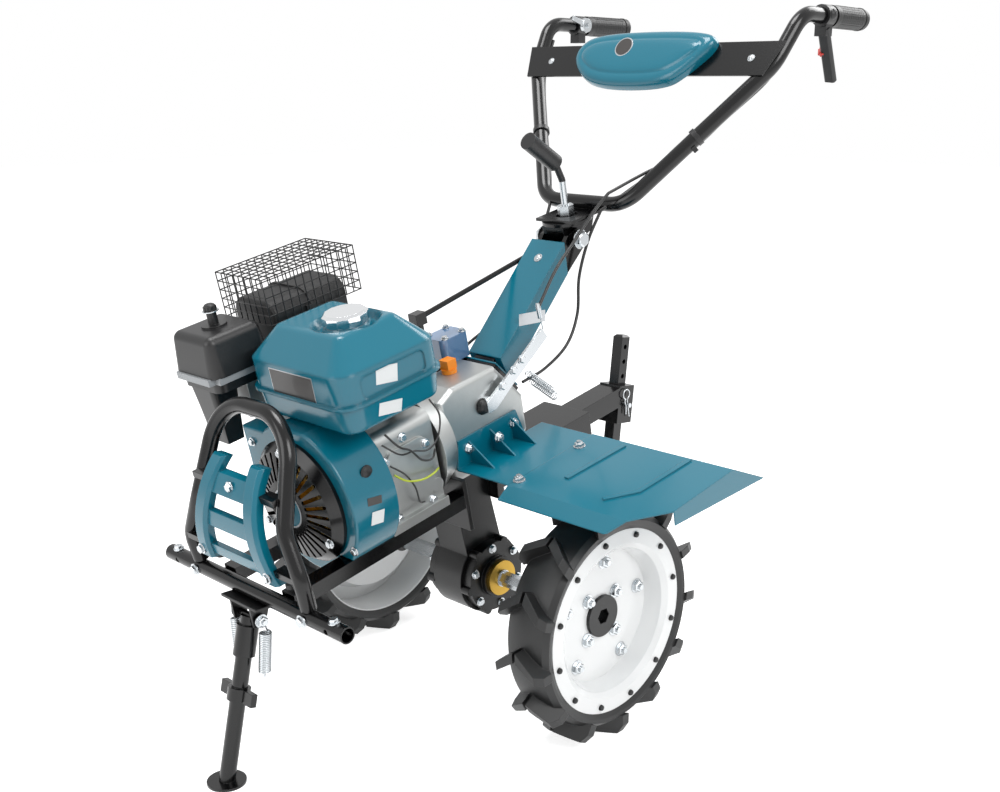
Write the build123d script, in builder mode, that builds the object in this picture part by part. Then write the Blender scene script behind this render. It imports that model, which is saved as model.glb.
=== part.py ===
"""Walk-behind rotary tiller on transport wheels, parked on its front stand.

The machine is drawn level, X forward, Y to its left and Z up, with the axle over the origin.
It parks nose down, so each finished piece is tipped about the axle before it is written.
"""
import os
from math import atan2, cos, hypot, radians, sin

from build123d import *

os.makedirs("parts", exist_ok=True)

# Wheels
WHEEL_RADIUS = 200.0
CARCASS_RADIUS = 180.0
TYRE_WIDTH = 94.0
RIM_RADIUS = 153.5
RIM_WIDTH = 75.0
RIM_WALL = 2.5
RIM_OUTER_Y = 325.0
DISC_DEPTH = 36.0
DISC_WALL = 4.0
LUG_PAIRS = 13
LUG_THICKNESS = 15.0
LUG_SWEEP = 24.0

# Hex axle and hubs
HEX_ACROSS_FLATS = 23.0
AXLE_JOURNAL = 30.0
HUB_FLANGE = 70.0
HUB_SLEEVE = 42.0
HUB_SLEEVE_LENGTH = 95.0
HEX_FIT = 0.2
RUNNING_FIT = 0.05

# Final drive case under the transmission
CASE_RADIUS = 69.0
CASE_HALF_WIDTH = 34.0
CASE_COVER_RADIUS = 62.0
CASE_COVER_DEPTH = 18.0
SEAL_BOSS_RADIUS = 36.0
SEAL_RADIUS = 31.0
SEAL_FACE_Y = 67.0
SEAL_DEPTH = 7.0
NECK_TOP_Z = 406.0
NECK_FRONT_X = 45.0
NECK_REAR_X = -32.0

# Transmission housing and clutch bell
HOUSING_HALF_WIDTH = 58.0
CRANK_Z = 484.0
BELL_RADIUS = 102.0
BELL_FRONT_X = 100.0
BELL_REAR_X = 60.0

# Steering column, on a line through the handle's tilt pivot
COLUMN_RISE = 36.87
COLUMN_TUBE = 44.0
COLUMN_WALL = 4.0
COLUMN_BASE = (-96.8, 529.3)
TILT_PIVOT = (-327.0, 702.0)
COVER_GAP = 1.4
COVER_SHEET = 2.0
COVER_WIDTH = 76.0

# Engine
ENGINE_REAR_X = 104.0
ENGINE_FRONT_X = 222.0
ENGINE_HALF_WIDTH = 82.0
ENGINE_FOOT_Z = 402.0
ENGINE_TOP_Z = 566.0
CYLINDER_TILT = 25.0
CYLINDER_SIZE = 96.0
CYLINDER_LENGTH = 116.0
HEAD_SIZE = 84.0
HEAD_LENGTH = 30.0
FIN_PITCH = 12.0
FIN_COUNT = 5
BLOWER_RADIUS = 122.0
BLOWER_REAR_X = 224.0
BLOWER_FRONT_X = 308.0
RECOIL_RADIUS = 100.0
RECOIL_FRONT_X = 338.0

# Fuel tank
TANK_REAR_X = 91.0
TANK_FRONT_X = 293.0
TANK_RIGHT_Y = -106.0
TANK_LEFT_Y = 136.0
TANK_BOTTOM_Z = 602.0
TANK_SEAM_Z = 644.0
TANK_WALL_Z = 694.0
TANK_TOP_Z = 738.0
ROOF_INSET = 46.0
TANK_CORNER = 34.0
SEAM_LIP = 5.0
SEAM_HEIGHT = 5.0
CAP_CENTRE = (190.0, 40.0)
CAP_RADIUS = 35.0
CAP_HEIGHT = 20.0

# Engine rails, cross tube and bumper hoop
RAIL_Y = 75.0
RAIL_WIDTH = 30.0
RAIL_HEIGHT = 24.0
RAIL_WALL = 2.5
RAIL_REAR_X = 70.0
TUBE_DIAMETER = 25.0
TUBE_WALL = 2.0
CROSS_TUBE_X = 430.6
CROSS_TUBE_Z = 390.0
CROSS_TUBE_HALF = 226.0
CROSS_TUBE_PIN = 8.5
HOOP_FOOT = (428.0, 138.0)
HOOP_KNEE = (430.0, 141.0, 448.0)
HOOP_HIP = (419.0, 110.0, 512.0)
HOOP_SHOULDER = (352.0, 88.0, 655.0)
GRILLE_LOW_Y = 97.0
GRILLE_HIGH_Y = 63.0
GRILLE_LOW_Z = 432.0
GRILLE_HIGH_Z = 592.0
GRILLE_BOW = ((444.0, 430.0), (447.0, 515.0), (402.0, 594.0))
GRILLE_DEPTH = 17.0
UPRIGHT_WIDTH = 31.0
UPRIGHT_CHAMFER = 5.0
CROSSBAR_STEP = 7.0
CROSSBARS = ((440.0, 460.0), (494.0, 518.0), (545.0, 572.0))
LUGS = ((431.0, 140.0, 452.0), (411.0, 102.0, 556.0))
LUG_PLATE = 20.0

# Parking stand, drawn as parked
STAND_PIVOT = (470.0, 258.0)
STAND_FOOT_X = 529.0
STAND_TUBE = 25.0
STAND_SLEEVE = 34.0
STAND_FOOT_RADIUS = 30.0
STAND_FOOT_PLATE = 4.0

# Fenders
FENDER_Z = 432.0
FENDER_SHEET = 2.0
FENDER_INNER_Y = 62.0
FENDER_LAP_Y = 178.0
FENDER_OUTER_Y = 458.0
FENDER_BEADS = (((18.0, 343.0), (-27.0, 376.0), (-146.0, 381.0)), ((-139.0, 256.0), (-7.0, 248.0)))
BEAD_WIDTH = 9.0
BEAD_HEIGHT = 2.5
GUSSETS_X = (16.0, -34.0, -84.0)
GUSSET_HEIGHT = 38.0
GUSSET_REACH = 52.0
GUSSET_SHEET = 3.0

# Handlebar
BAR_DIAMETER = 26.0
BAR_WALL = 2.0
BAR_LOW = (-392.0, 92.0, 746.0)
BAR_HIGH = (-600.0, 268.0, 935.0)
BAR_TOP = (-668.0, 283.0, 1004.0)
BAR_END = (-868.0, 270.0, 958.0)
GRIP_DIAMETER = 37.0
GRIP_LENGTH = 110.0

# How the machine is parked
NOSE_DOWN = 12.1
AXLE_X = 69.0

AXLE = Location((AXLE_X, 0, WHEEL_RADIUS))
TIPPED = AXLE * Location((0, 0, 0), (0, NOSE_DOWN, 0)) * Location((0, 0, -WHEEL_RADIUS))
PARKED = Location((AXLE_X, 0, 0))


def save(piece, label, where=TIPPED):
    """Set a finished piece in its place, name it and write it."""
    placed = piece.moved(where)
    placed.label = label
    export_step(placed, f"parts/{label}.step")
    return placed


def both_sides(piece):
    """A left-hand piece and its mirror image on the right, as one pair."""
    return Compound(children=[piece, mirror(piece, about=Plane.XZ)])


def across(y, x=0.0, z=0.0):
    """A plane facing left at a distance from the machine's middle, X along it and Z up it."""
    return Plane(origin=(x, y, z), x_dir=(-1, 0, 0), z_dir=(0, 1, 0))


# Wheels, drawn about their own axle with the outer face up
HALF_TYRE = TYRE_WIDTH / 2
RIM_INNER = RIM_RADIUS - RIM_WALL
RIM_FACE = RIM_WIDTH / 2
DISC_FACE = RIM_FACE - DISC_DEPTH
TYRE_MIDDLE_Y = RIM_OUTER_Y - RIM_FACE
WHEEL_PLANE = Plane(origin=(AXLE_X, TYRE_MIDDLE_Y, WHEEL_RADIUS), x_dir=(1, 0, 0), z_dir=(0, 1, 0))
WHEEL_AT = WHEEL_PLANE.location
LUG_ROOT = RIM_RADIUS + 14
BEAD_RADIUS = RIM_RADIUS + 8
DOWN = 90

with BuildPart() as lug:
    with BuildSketch(Plane.YZ.offset(LUG_ROOT)):
        for side in (1, -1):
            with BuildLine():
                Polyline(
                    (LUG_SWEEP, side * HALF_TYRE),
                    (LUG_SWEEP - LUG_THICKNESS, side * HALF_TYRE),
                    (-LUG_SWEEP, side * 3),
                    (LUG_THICKNESS * 1.2 - LUG_SWEEP, side * 3),
                    close=True,
                )
            make_face()
    extrude(amount=WHEEL_RADIUS - LUG_ROOT + 10)
    with BuildSketch(Plane.XZ):
        with BuildLine():
            Polyline(
                (LUG_ROOT, -HALF_TYRE),
                (WHEEL_RADIUS - 14, -HALF_TYRE),
                (WHEEL_RADIUS, -HALF_TYRE + 7),
                (WHEEL_RADIUS, HALF_TYRE - 7),
                (WHEEL_RADIUS - 14, HALF_TYRE),
                (LUG_ROOT, HALF_TYRE),
                close=True,
            )
        make_face()
    revolve(axis=Axis.Z, mode=Mode.INTERSECT)

with BuildPart() as tyre:
    with BuildSketch(Plane.XZ):
        with BuildLine() as carcass:
            Polyline(
                (RIM_RADIUS, -RIM_FACE),
                (BEAD_RADIUS, -RIM_FACE - 4),
                (LUG_ROOT, -HALF_TYRE + 4),
                (CARCASS_RADIUS - 5, -HALF_TYRE + 12),
            )
            ThreePointArc(
                (CARCASS_RADIUS - 5, -HALF_TYRE + 12),
                (CARCASS_RADIUS, 0),
                (CARCASS_RADIUS - 5, HALF_TYRE - 12),
            )
            Polyline(
                (CARCASS_RADIUS - 5, HALF_TYRE - 12),
                (LUG_ROOT, HALF_TYRE - 4),
                (BEAD_RADIUS, RIM_FACE + 4),
                (RIM_RADIUS, RIM_FACE),
                (RIM_RADIUS, -RIM_FACE),
            )
        make_face()
    revolve(axis=Axis.Z)
    with PolarLocations(0, LUG_PAIRS, start_angle=DOWN):
        add(lug.part)

# The white pan: a rolled rim with a dished disc pressed in one piece
HUB_SEAT_RADIUS = HUB_SLEEVE / 2
PAN_LAND = RIM_INNER - 22
PAN_FLAT = PAN_LAND - 18
with BuildPart() as rim:
    with BuildSketch(Plane.XZ):
        with BuildLine():
            Polyline(
                (RIM_RADIUS, -RIM_FACE),
                (RIM_RADIUS, RIM_FACE),
                (PAN_LAND, RIM_FACE),
                (PAN_LAND - 9, RIM_FACE - 7),
                (PAN_FLAT, DISC_FACE),
                (HUB_SEAT_RADIUS, DISC_FACE),
                (HUB_SEAT_RADIUS, DISC_FACE - DISC_WALL),
                (PAN_FLAT + 2, DISC_FACE - DISC_WALL),
                (PAN_LAND - 4, RIM_FACE - 10),
                (RIM_INNER, RIM_FACE - 3),
                (RIM_INNER, -RIM_FACE),
                close=True,
            )
        make_face()
    revolve(axis=Axis.Z)

# The black hub: a sleeve on the hex shaft, flanged against the disc's outer face
HEX_HOLE = HEX_ACROSS_FLATS / 2 + HEX_FIT
with BuildPart() as hub:
    with BuildSketch(Plane.XY.offset(DISC_FACE)):
        Circle(HUB_FLANGE / 2)
    extrude(amount=6)
    with BuildSketch(Plane.XY.offset(DISC_FACE)):
        Circle(HUB_SEAT_RADIUS)
    extrude(amount=-HUB_SLEEVE_LENGTH)
    with BuildSketch(Plane.XY.offset(DISC_FACE - HUB_SLEEVE_LENGTH)):
        RegularPolygon(HEX_HOLE, 6, major_radius=False)
    extrude(amount=HUB_SLEEVE_LENGTH + 6, mode=Mode.SUBTRACT)

# The shaft is round where it turns in the seals and hexagonal from there out
SHAFT_END = TYRE_MIDDLE_Y + DISC_FACE - 12
ROUND_HALF = SEAL_FACE_Y + 3
with BuildPart() as axle:
    with BuildSketch(across(-ROUND_HALF, z=WHEEL_RADIUS)):
        Circle(AXLE_JOURNAL / 2)
    extrude(amount=2 * ROUND_HALF)
    for side in (1, -1):
        with BuildSketch(across(side * ROUND_HALF, z=WHEEL_RADIUS)):
            RegularPolygon(HEX_ACROSS_FLATS / 2, 6, major_radius=False)
        extrude(amount=side * (SHAFT_END - ROUND_HALF))

tyre_left = save(tyre.part, "tyre_left", WHEEL_AT)
save(mirror(tyre_left, about=Plane.XZ), "tyre_right", Location())
rim_left = save(rim.part, "rim_left", WHEEL_AT)
save(mirror(rim_left, about=Plane.XZ), "rim_right", Location())
save(both_sides(hub.part.moved(WHEEL_AT)), "wheel_hubs", Location())
save(axle.part, "axle", PARKED)


# Final drive: a round case on the axle with a neck up to the transmission
AXLE_PLANE_Z = WHEEL_RADIUS
JOURNAL_HOLE = AXLE_JOURNAL / 2 + RUNNING_FIT
CASE_HOLE = AXLE_JOURNAL / 2 + 3
NECK_HALF_WIDTH = CASE_HALF_WIDTH
BRACKET_TOP_Z = 426.0
BRACKET_BOTTOM_Z = 335.0
BRACKET_HALF_WIDTH = RAIL_Y + RAIL_WIDTH / 2
NECK_REAR_EDGE = (
    (NECK_REAR_X - 8, NECK_TOP_Z),
    (NECK_REAR_X, NECK_TOP_Z - 60),
    (NECK_REAR_X - 12, AXLE_PLANE_Z),
)
with BuildPart() as gearbox_case:
    with BuildSketch(across(-CASE_HALF_WIDTH, z=AXLE_PLANE_Z)):
        Circle(CASE_RADIUS)
    extrude(amount=2 * CASE_HALF_WIDTH)
    with BuildSketch(Plane.XZ.offset(-NECK_HALF_WIDTH)):
        with BuildLine():
            Polyline(
                (NECK_FRONT_X - 6, AXLE_PLANE_Z),
                (NECK_FRONT_X, NECK_TOP_Z - 80),
                (NECK_FRONT_X, NECK_TOP_Z),
                *NECK_REAR_EDGE,
                close=True,
            )
        make_face()
    extrude(amount=2 * NECK_HALF_WIDTH)
    with Locations((RAIL_REAR_X - 4, 0, (BRACKET_TOP_Z + BRACKET_BOTTOM_Z) / 2)):
        Box(8, 2 * BRACKET_HALF_WIDTH, BRACKET_TOP_Z - BRACKET_BOTTOM_Z)
    with Locations(((NECK_FRONT_X + RAIL_REAR_X - 8) / 2, 0, NECK_TOP_Z - 45)):
        Box(RAIL_REAR_X - 8 - NECK_FRONT_X, 2 * NECK_HALF_WIDTH, 50)
    with BuildSketch(across(-CASE_HALF_WIDTH, z=AXLE_PLANE_Z)):
        Circle(CASE_HOLE)
    extrude(amount=2 * CASE_HALF_WIDTH, mode=Mode.SUBTRACT)

COVER_FACE_Y = CASE_HALF_WIDTH + CASE_COVER_DEPTH
BOSS_FACE_Y = SEAL_FACE_Y - SEAL_DEPTH
with BuildPart() as gearbox_cover:
    with BuildSketch(across(CASE_HALF_WIDTH, z=AXLE_PLANE_Z)):
        Circle(CASE_COVER_RADIUS)
        with PolarLocations(CASE_COVER_RADIUS, 6):
            Circle(8)
    extrude(amount=CASE_COVER_DEPTH)
    with BuildSketch(across(COVER_FACE_Y, z=AXLE_PLANE_Z)):
        Circle(SEAL_BOSS_RADIUS)
    extrude(amount=BOSS_FACE_Y - COVER_FACE_Y)
    with BuildSketch(across(CASE_HALF_WIDTH, z=AXLE_PLANE_Z)):
        Circle(CASE_HOLE)
    extrude(amount=BOSS_FACE_Y - CASE_HALF_WIDTH, mode=Mode.SUBTRACT)

with BuildPart() as seal:
    with BuildSketch(across(BOSS_FACE_Y, z=AXLE_PLANE_Z)):
        Circle(SEAL_RADIUS)
        Circle(JOURNAL_HOLE, mode=Mode.SUBTRACT)
    extrude(amount=SEAL_DEPTH)

save(gearbox_case.part, "gearbox_case")
save(gearbox_cover.part, "gearbox_cover_left")
save(mirror(gearbox_cover.part, about=Plane.XZ), "gearbox_cover_right")
save(both_sides(seal.part), "axle_seals")


# Transmission housing: an aluminium casting between neck and column, with the clutch bell in front
UP_COLUMN = (-cos(radians(COLUMN_RISE)), 0, sin(radians(COLUMN_RISE)))
COLUMN_START = Plane(origin=(COLUMN_BASE[0], 0, COLUMN_BASE[1]), x_dir=(0, 1, 0), z_dir=UP_COLUMN)


def on_column(along, above):
    """X and Z of a point some way up the column and some way above its centreline."""
    lean = radians(COLUMN_RISE)
    x = COLUMN_BASE[0] - along * cos(lean) + above * sin(lean)
    z = COLUMN_BASE[1] + along * sin(lean) + above * cos(lean)
    return (x, z)


HOUSING_TOP_Z = 566.0
SLOPE_TOP = on_column(0, (HOUSING_TOP_Z - COLUMN_BASE[1]) / cos(radians(COLUMN_RISE)))
SLOPE_BOTTOM = on_column(0, -42)
with BuildPart() as housing:
    with BuildSketch(Plane.XZ.offset(-HOUSING_HALF_WIDTH)):
        with BuildLine():
            Polyline(
                (BELL_REAR_X, NECK_TOP_Z),
                (BELL_REAR_X, HOUSING_TOP_Z - 14),
                (BELL_REAR_X - 30, HOUSING_TOP_Z),
                SLOPE_TOP,
                SLOPE_BOTTOM,
                (SLOPE_BOTTOM[0], NECK_TOP_Z + 26),
                (SLOPE_BOTTOM[0] + 26, NECK_TOP_Z),
                close=True,
            )
        make_face()
    extrude(amount=2 * HOUSING_HALF_WIDTH)
    fillet(housing.edges().filter_by(Axis.Y, reverse=True).group_by(Axis.Y)[-1], 8)
    fillet(housing.edges().filter_by(Axis.Y, reverse=True).group_by(Axis.Y)[0], 8)
    with BuildSketch(Plane(origin=(BELL_REAR_X - 2, 0, CRANK_Z), x_dir=(0, 1, 0), z_dir=(1, 0, 0))):
        Circle(BELL_RADIUS - 22)
    extrude(amount=BELL_FRONT_X - BELL_REAR_X, taper=-22)
    with BuildSketch(Plane.XZ.offset(-NECK_HALF_WIDTH - 60)):
        with BuildLine():
            Polyline(
                (NECK_REAR_X - 60, NECK_TOP_Z),
                (BELL_FRONT_X + 20, NECK_TOP_Z),
                (BELL_FRONT_X + 20, NECK_TOP_Z - 60),
                (NECK_REAR_X - 60, NECK_TOP_Z - 60),
                close=True,
            )
        make_face()
    extrude(amount=2 * NECK_HALF_WIDTH + 120, mode=Mode.SUBTRACT)
    with BuildSketch(Plane.XY.offset(NECK_TOP_Z - 1)):
        with Locations((RAIL_REAR_X - 4, 0)):
            Rectangle(8.4, 2 * BRACKET_HALF_WIDTH + 1)
    extrude(amount=BRACKET_TOP_Z - NECK_TOP_Z + 1.2, mode=Mode.SUBTRACT)

PLUG_AT = (-20.0, 0.0)
PLUG_SIZE = 20.0
with BuildPart() as oil_plug:
    with BuildSketch(Plane.XY.offset(HOUSING_TOP_Z)):
        with Locations(PLUG_AT):
            Circle(13)
    extrude(amount=7)
    with BuildSketch(Plane.XY.offset(HOUSING_TOP_Z + 7)):
        with Locations(PLUG_AT):
            Rectangle(PLUG_SIZE, PLUG_SIZE)
    extrude(amount=16)

with BuildPart() as top_cover:
    with Locations((-66, -48, HOUSING_TOP_Z + 22)):
        Box(60, 50, 44)
    fillet(top_cover.edges().filter_by(Axis.Z), 10)

save(housing.part, "transmission_housing")
save(oil_plug.part, "oil_plug")
save(top_cover.part, "selector_cover")


# Steering column: a square tube from the housing up to the tilt pivot, under a folded cover
PIVOT_ALONG = hypot(TILT_PIVOT[0] - COLUMN_BASE[0], TILT_PIVOT[1] - COLUMN_BASE[1])
TUBE_END = PIVOT_ALONG - 34
EAR_INNER = 24.0
EAR_THICK = 8.0
PIVOT_BOLT = 12.0
with BuildPart() as column:
    with BuildSketch(COLUMN_START):
        Rectangle(92, 74)
    extrude(amount=8)
    with BuildSketch(COLUMN_START.offset(8)):
        Rectangle(COLUMN_TUBE, COLUMN_TUBE)
    extrude(amount=TUBE_END - 8)
    for side in (1, -1):
        with BuildSketch(Plane.XZ.offset(-side * EAR_INNER)):
            with BuildLine():
                Polyline(
                    on_column(TUBE_END - 40, -22),
                    on_column(TUBE_END - 30, 12),
                    on_column(PIVOT_ALONG - 10, 20),
                    on_column(PIVOT_ALONG + 16, 10),
                    on_column(PIVOT_ALONG + 16, -16),
                    on_column(PIVOT_ALONG - 4, -26),
                    close=True,
                )
            make_face()
            with Locations(TILT_PIVOT):
                Circle(PIVOT_BOLT / 2, mode=Mode.SUBTRACT)
        extrude(amount=-side * EAR_THICK)
    with BuildSketch(COLUMN_START.offset(TUBE_END - 20)):
        Rectangle(2 * EAR_INNER, COLUMN_TUBE)
    extrude(amount=20)

COVER_TOP = COLUMN_TUBE / 2 + COVER_GAP
COVER_START = 16.0
COVER_END = PIVOT_ALONG - 26
COVER_DROP = COLUMN_TUBE / 2 - 4
with BuildPart() as column_cover:
    for half, below in ((COVER_WIDTH / 2, 0), (COVER_WIDTH / 2 - COVER_SHEET, COVER_SHEET)):
        with BuildSketch(Plane.XZ.offset(-half)):
            with BuildLine():
                Polyline(
                    on_column(COVER_START + 10, COVER_TOP + COVER_SHEET - below),
                    on_column(COVER_END, COVER_TOP + COVER_SHEET - below),
                    on_column(COVER_END - 34, -COVER_DROP - below),
                    on_column(COVER_START - 6, -COVER_DROP - below),
                    close=True,
                )
            make_face()
        extrude(amount=2 * half, mode=Mode.ADD if below == 0 else Mode.SUBTRACT)
    with BuildSketch(COLUMN_START.offset(10)):
        Rectangle(COVER_WIDTH + 10, 70)
    extrude(amount=3)
    with BuildSketch(COLUMN_START.offset(9)):
        Rectangle(COLUMN_TUBE + 3, COLUMN_TUBE + 2)
    extrude(amount=PIVOT_ALONG, mode=Mode.SUBTRACT)

save(column.part, "column")
save(column_cover.part, "column_cover")


# Engine: crankcase and inclined finned cylinder as one casting, with two feet under the tank
CYLINDER_PLANE = Plane(
    origin=(163, -60, 486),
    x_dir=(1, 0, 0),
    z_dir=(0, -cos(radians(CYLINDER_TILT)), sin(radians(CYLINDER_TILT))),
)
ENGINE_MIDDLE_X = (ENGINE_REAR_X + ENGINE_FRONT_X) / 2
FILLER_RADIUS = 12.0
TANK_GAP = 1.0
TANK_SEAT_Y = 20.0
with BuildPart() as engine:
    with Locations((ENGINE_MIDDLE_X, 0, (ENGINE_FOOT_Z + ENGINE_TOP_Z) / 2)):
        Box(ENGINE_FRONT_X - ENGINE_REAR_X, 2 * ENGINE_HALF_WIDTH, ENGINE_TOP_Z - ENGINE_FOOT_Z)
    fillet(engine.edges().filter_by(Axis.X), 18)
    with Locations((ENGINE_MIDDLE_X, 0, ENGINE_FOOT_Z + 8)):
        Box(ENGINE_FRONT_X - ENGINE_REAR_X, 2 * ENGINE_HALF_WIDTH + 20, 16)
    with BuildSketch(CYLINDER_PLANE):
        RectangleRounded(CYLINDER_SIZE, CYLINDER_SIZE, 20)
    extrude(amount=CYLINDER_LENGTH)
    with BuildSketch(CYLINDER_PLANE.offset(CYLINDER_LENGTH)):
        RectangleRounded(HEAD_SIZE, HEAD_SIZE, 12)
    extrude(amount=HEAD_LENGTH)
    for fin in range(FIN_COUNT):
        with BuildSketch(CYLINDER_PLANE.offset(CYLINDER_LENGTH - FIN_PITCH * (fin + 1))):
            Rectangle(CYLINDER_SIZE + 10, CYLINDER_SIZE + 10)
            RectangleRounded(CYLINDER_SIZE - 20, CYLINDER_SIZE - 20, 14, mode=Mode.SUBTRACT)
        extrude(amount=FIN_PITCH / 2, mode=Mode.SUBTRACT)
    with BuildSketch(across(ENGINE_HALF_WIDTH, 0, 0)):
        with Locations((-118, 443), (-200, 443)):
            Circle(FILLER_RADIUS)
        with Locations((-ENGINE_MIDDLE_X, CRANK_Z)):
            RectangleRounded(84, 100, 18)
    extrude(amount=6)
    for side in (1, -1):
        with Locations((ENGINE_MIDDLE_X + side * 40, TANK_SEAT_Y, (ENGINE_TOP_Z + TANK_BOTTOM_Z) / 2)):
            Box(18, 26, TANK_BOTTOM_Z - ENGINE_TOP_Z)

with BuildPart() as blower:
    with BuildSketch(Plane(origin=(BLOWER_REAR_X, 0, CRANK_Z), x_dir=(0, 1, 0), z_dir=(1, 0, 0))):
        Circle(BLOWER_RADIUS)
        with Locations((-62, 50)):
            Rectangle(124, 100)
        with Locations((0, TANK_BOTTOM_Z - TANK_GAP - CRANK_Z + 50)):
            Rectangle(300, 100, mode=Mode.SUBTRACT)
        with Locations((RAIL_Y, CROSS_TUBE_Z - CRANK_Z), (-RAIL_Y, CROSS_TUBE_Z - CRANK_Z)):
            Rectangle(RAIL_WIDTH + 2, RAIL_HEIGHT + 2, mode=Mode.SUBTRACT)
        for side in (1, -1):
            with Locations((side * (RAIL_Y + 50), CROSS_TUBE_Z - CRANK_Z - 20)):
                Rectangle(132, RAIL_HEIGHT + 42, mode=Mode.SUBTRACT)
    extrude(amount=BLOWER_FRONT_X - BLOWER_REAR_X)
    fillet(blower.faces().sort_by(Axis.X)[-1].edges(), 4)
    with BuildSketch(Plane(origin=(BLOWER_FRONT_X - 34, 0, CRANK_Z), x_dir=(0, 1, 0), z_dir=(1, 0, 0))):
        Circle(RECOIL_RADIUS - 6)
    extrude(amount=40, mode=Mode.SUBTRACT)

RECOIL_PLANE = Plane(origin=(BLOWER_FRONT_X, 0, CRANK_Z), x_dir=(0, 1, 0), z_dir=(1, 0, 0))
RECOIL_DEPTH = RECOIL_FRONT_X - BLOWER_FRONT_X
with BuildPart() as recoil:
    with BuildSketch(Plane.XZ):
        with BuildLine():
            Polyline(
                (0, 0.1),
                (RECOIL_RADIUS, 0.1),
                (RECOIL_RADIUS, 6),
                (RECOIL_RADIUS - 12, 20),
                (46, RECOIL_DEPTH),
                (0, RECOIL_DEPTH),
                close=True,
            )
        make_face()
    revolve(axis=Axis.Z)
    with BuildSketch(Plane.XZ):
        with BuildLine():
            Polyline(
                (0, 0),
                (RECOIL_RADIUS - 4, 0),
                (RECOIL_RADIUS - 4, 5),
                (RECOIL_RADIUS - 15, 17),
                (45, RECOIL_DEPTH - 3),
                (0, RECOIL_DEPTH - 3),
                close=True,
            )
        make_face()
    revolve(axis=Axis.Z, mode=Mode.SUBTRACT)
    with BuildSketch(Plane.XY):
        with PolarLocations(66, 30):
            SlotOverall(44, 6)
    extrude(amount=RECOIL_DEPTH + 5, mode=Mode.SUBTRACT)

with BuildPart() as fan:
    with BuildSketch(RECOIL_PLANE.offset(-34)):
        Circle(20)
    extrude(amount=4)
    with BuildSketch(RECOIL_PLANE.offset(-32)):
        Circle(78)
    extrude(amount=6)
    with BuildSketch(RECOIL_PLANE.offset(-26)):
        Circle(40)
        Circle(34, mode=Mode.SUBTRACT)
        with PolarLocations(60, 16):
            Rectangle(32, 4)
    extrude(amount=22)

save(engine.part, "engine_block")
save(blower.part, "blower_housing")
save(recoil.part, "recoil_cover", TIPPED * RECOIL_PLANE.location)
save(fan.part, "flywheel_fan")


# Fuel tank: two pressings meeting in a seam, with a neck under the filler cap
TANK_LENGTH = TANK_FRONT_X - TANK_REAR_X
TANK_WIDTH = TANK_LEFT_Y - TANK_RIGHT_Y
TANK_MIDDLE = ((TANK_FRONT_X + TANK_REAR_X) / 2, (TANK_LEFT_Y + TANK_RIGHT_Y) / 2)


def tank_outline(z, inset):
    """The tank's rounded outline at one height, drawn in by an inset."""
    with BuildSketch(Plane.XY.offset(z)) as outline:
        with Locations(TANK_MIDDLE):
            RectangleRounded(TANK_LENGTH - 2 * inset, TANK_WIDTH - 2 * inset, TANK_CORNER - inset / 2)
    return outline.sketch


FLANK_HEIGHT = 34.0
FLANK_DEPTH = 3.0
CAP_DISH = 14.0
CAP_SEAT_Z = TANK_TOP_Z - CAP_DISH + 8
FLANK_PLANE = across(TANK_LEFT_Y - SEAM_LIP - FLANK_DEPTH, TANK_MIDDLE[0], TANK_SEAM_Z + SEAM_HEIGHT)
with BuildPart() as tank:
    extrude(tank_outline(TANK_SEAM_Z, SEAM_LIP), amount=TANK_BOTTOM_Z - TANK_SEAM_Z, taper=8)
    extrude(tank_outline(TANK_SEAM_Z, 0), amount=SEAM_HEIGHT)
    fillet(tank.faces().sort_by(Axis.Z)[0].edges(), 10)
    with BuildPart() as roof:
        extrude(tank_outline(TANK_WALL_Z, SEAM_LIP), amount=TANK_SEAM_Z + SEAM_HEIGHT - TANK_WALL_Z)
        loft([tank_outline(TANK_WALL_Z, SEAM_LIP), tank_outline(TANK_TOP_Z, ROOF_INSET)], ruled=True)
        fillet(roof.faces().sort_by(Axis.Z)[-1].edges(), 14)
        with BuildSketch(Plane.XY.offset(TANK_TOP_Z)):
            with Locations(CAP_CENTRE):
                Circle(CAP_RADIUS + 18)
        extrude(amount=-CAP_DISH, taper=25, mode=Mode.SUBTRACT)
        with BuildSketch(FLANK_PLANE):
            with Locations((0, FLANK_HEIGHT / 2 + 2)):
                RectangleRounded(TANK_LENGTH - 80, FLANK_HEIGHT, 10)
        extrude(amount=20, mode=Mode.SUBTRACT)
    with BuildSketch(Plane.XY.offset(CAP_SEAT_Z - 8)):
        with Locations(CAP_CENTRE):
            Circle(CAP_RADIUS + 3)
    extrude(amount=8, taper=15)

with BuildPart() as cap:
    with BuildSketch(Plane.XY.offset(CAP_SEAT_Z)):
        with Locations(CAP_CENTRE):
            Circle(CAP_RADIUS - 3)
    extrude(amount=4)
    with BuildSketch(Plane.XY.offset(CAP_SEAT_Z + 4)):
        with Locations(CAP_CENTRE):
            RegularPolygon(CAP_RADIUS, 12)
    extrude(amount=CAP_HEIGHT - 4)
    chamfer(cap.faces().sort_by(Axis.Z)[-1].edges(), 4)

save(tank.part, "fuel_tank")
save(cap.part, "fuel_cap")


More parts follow.
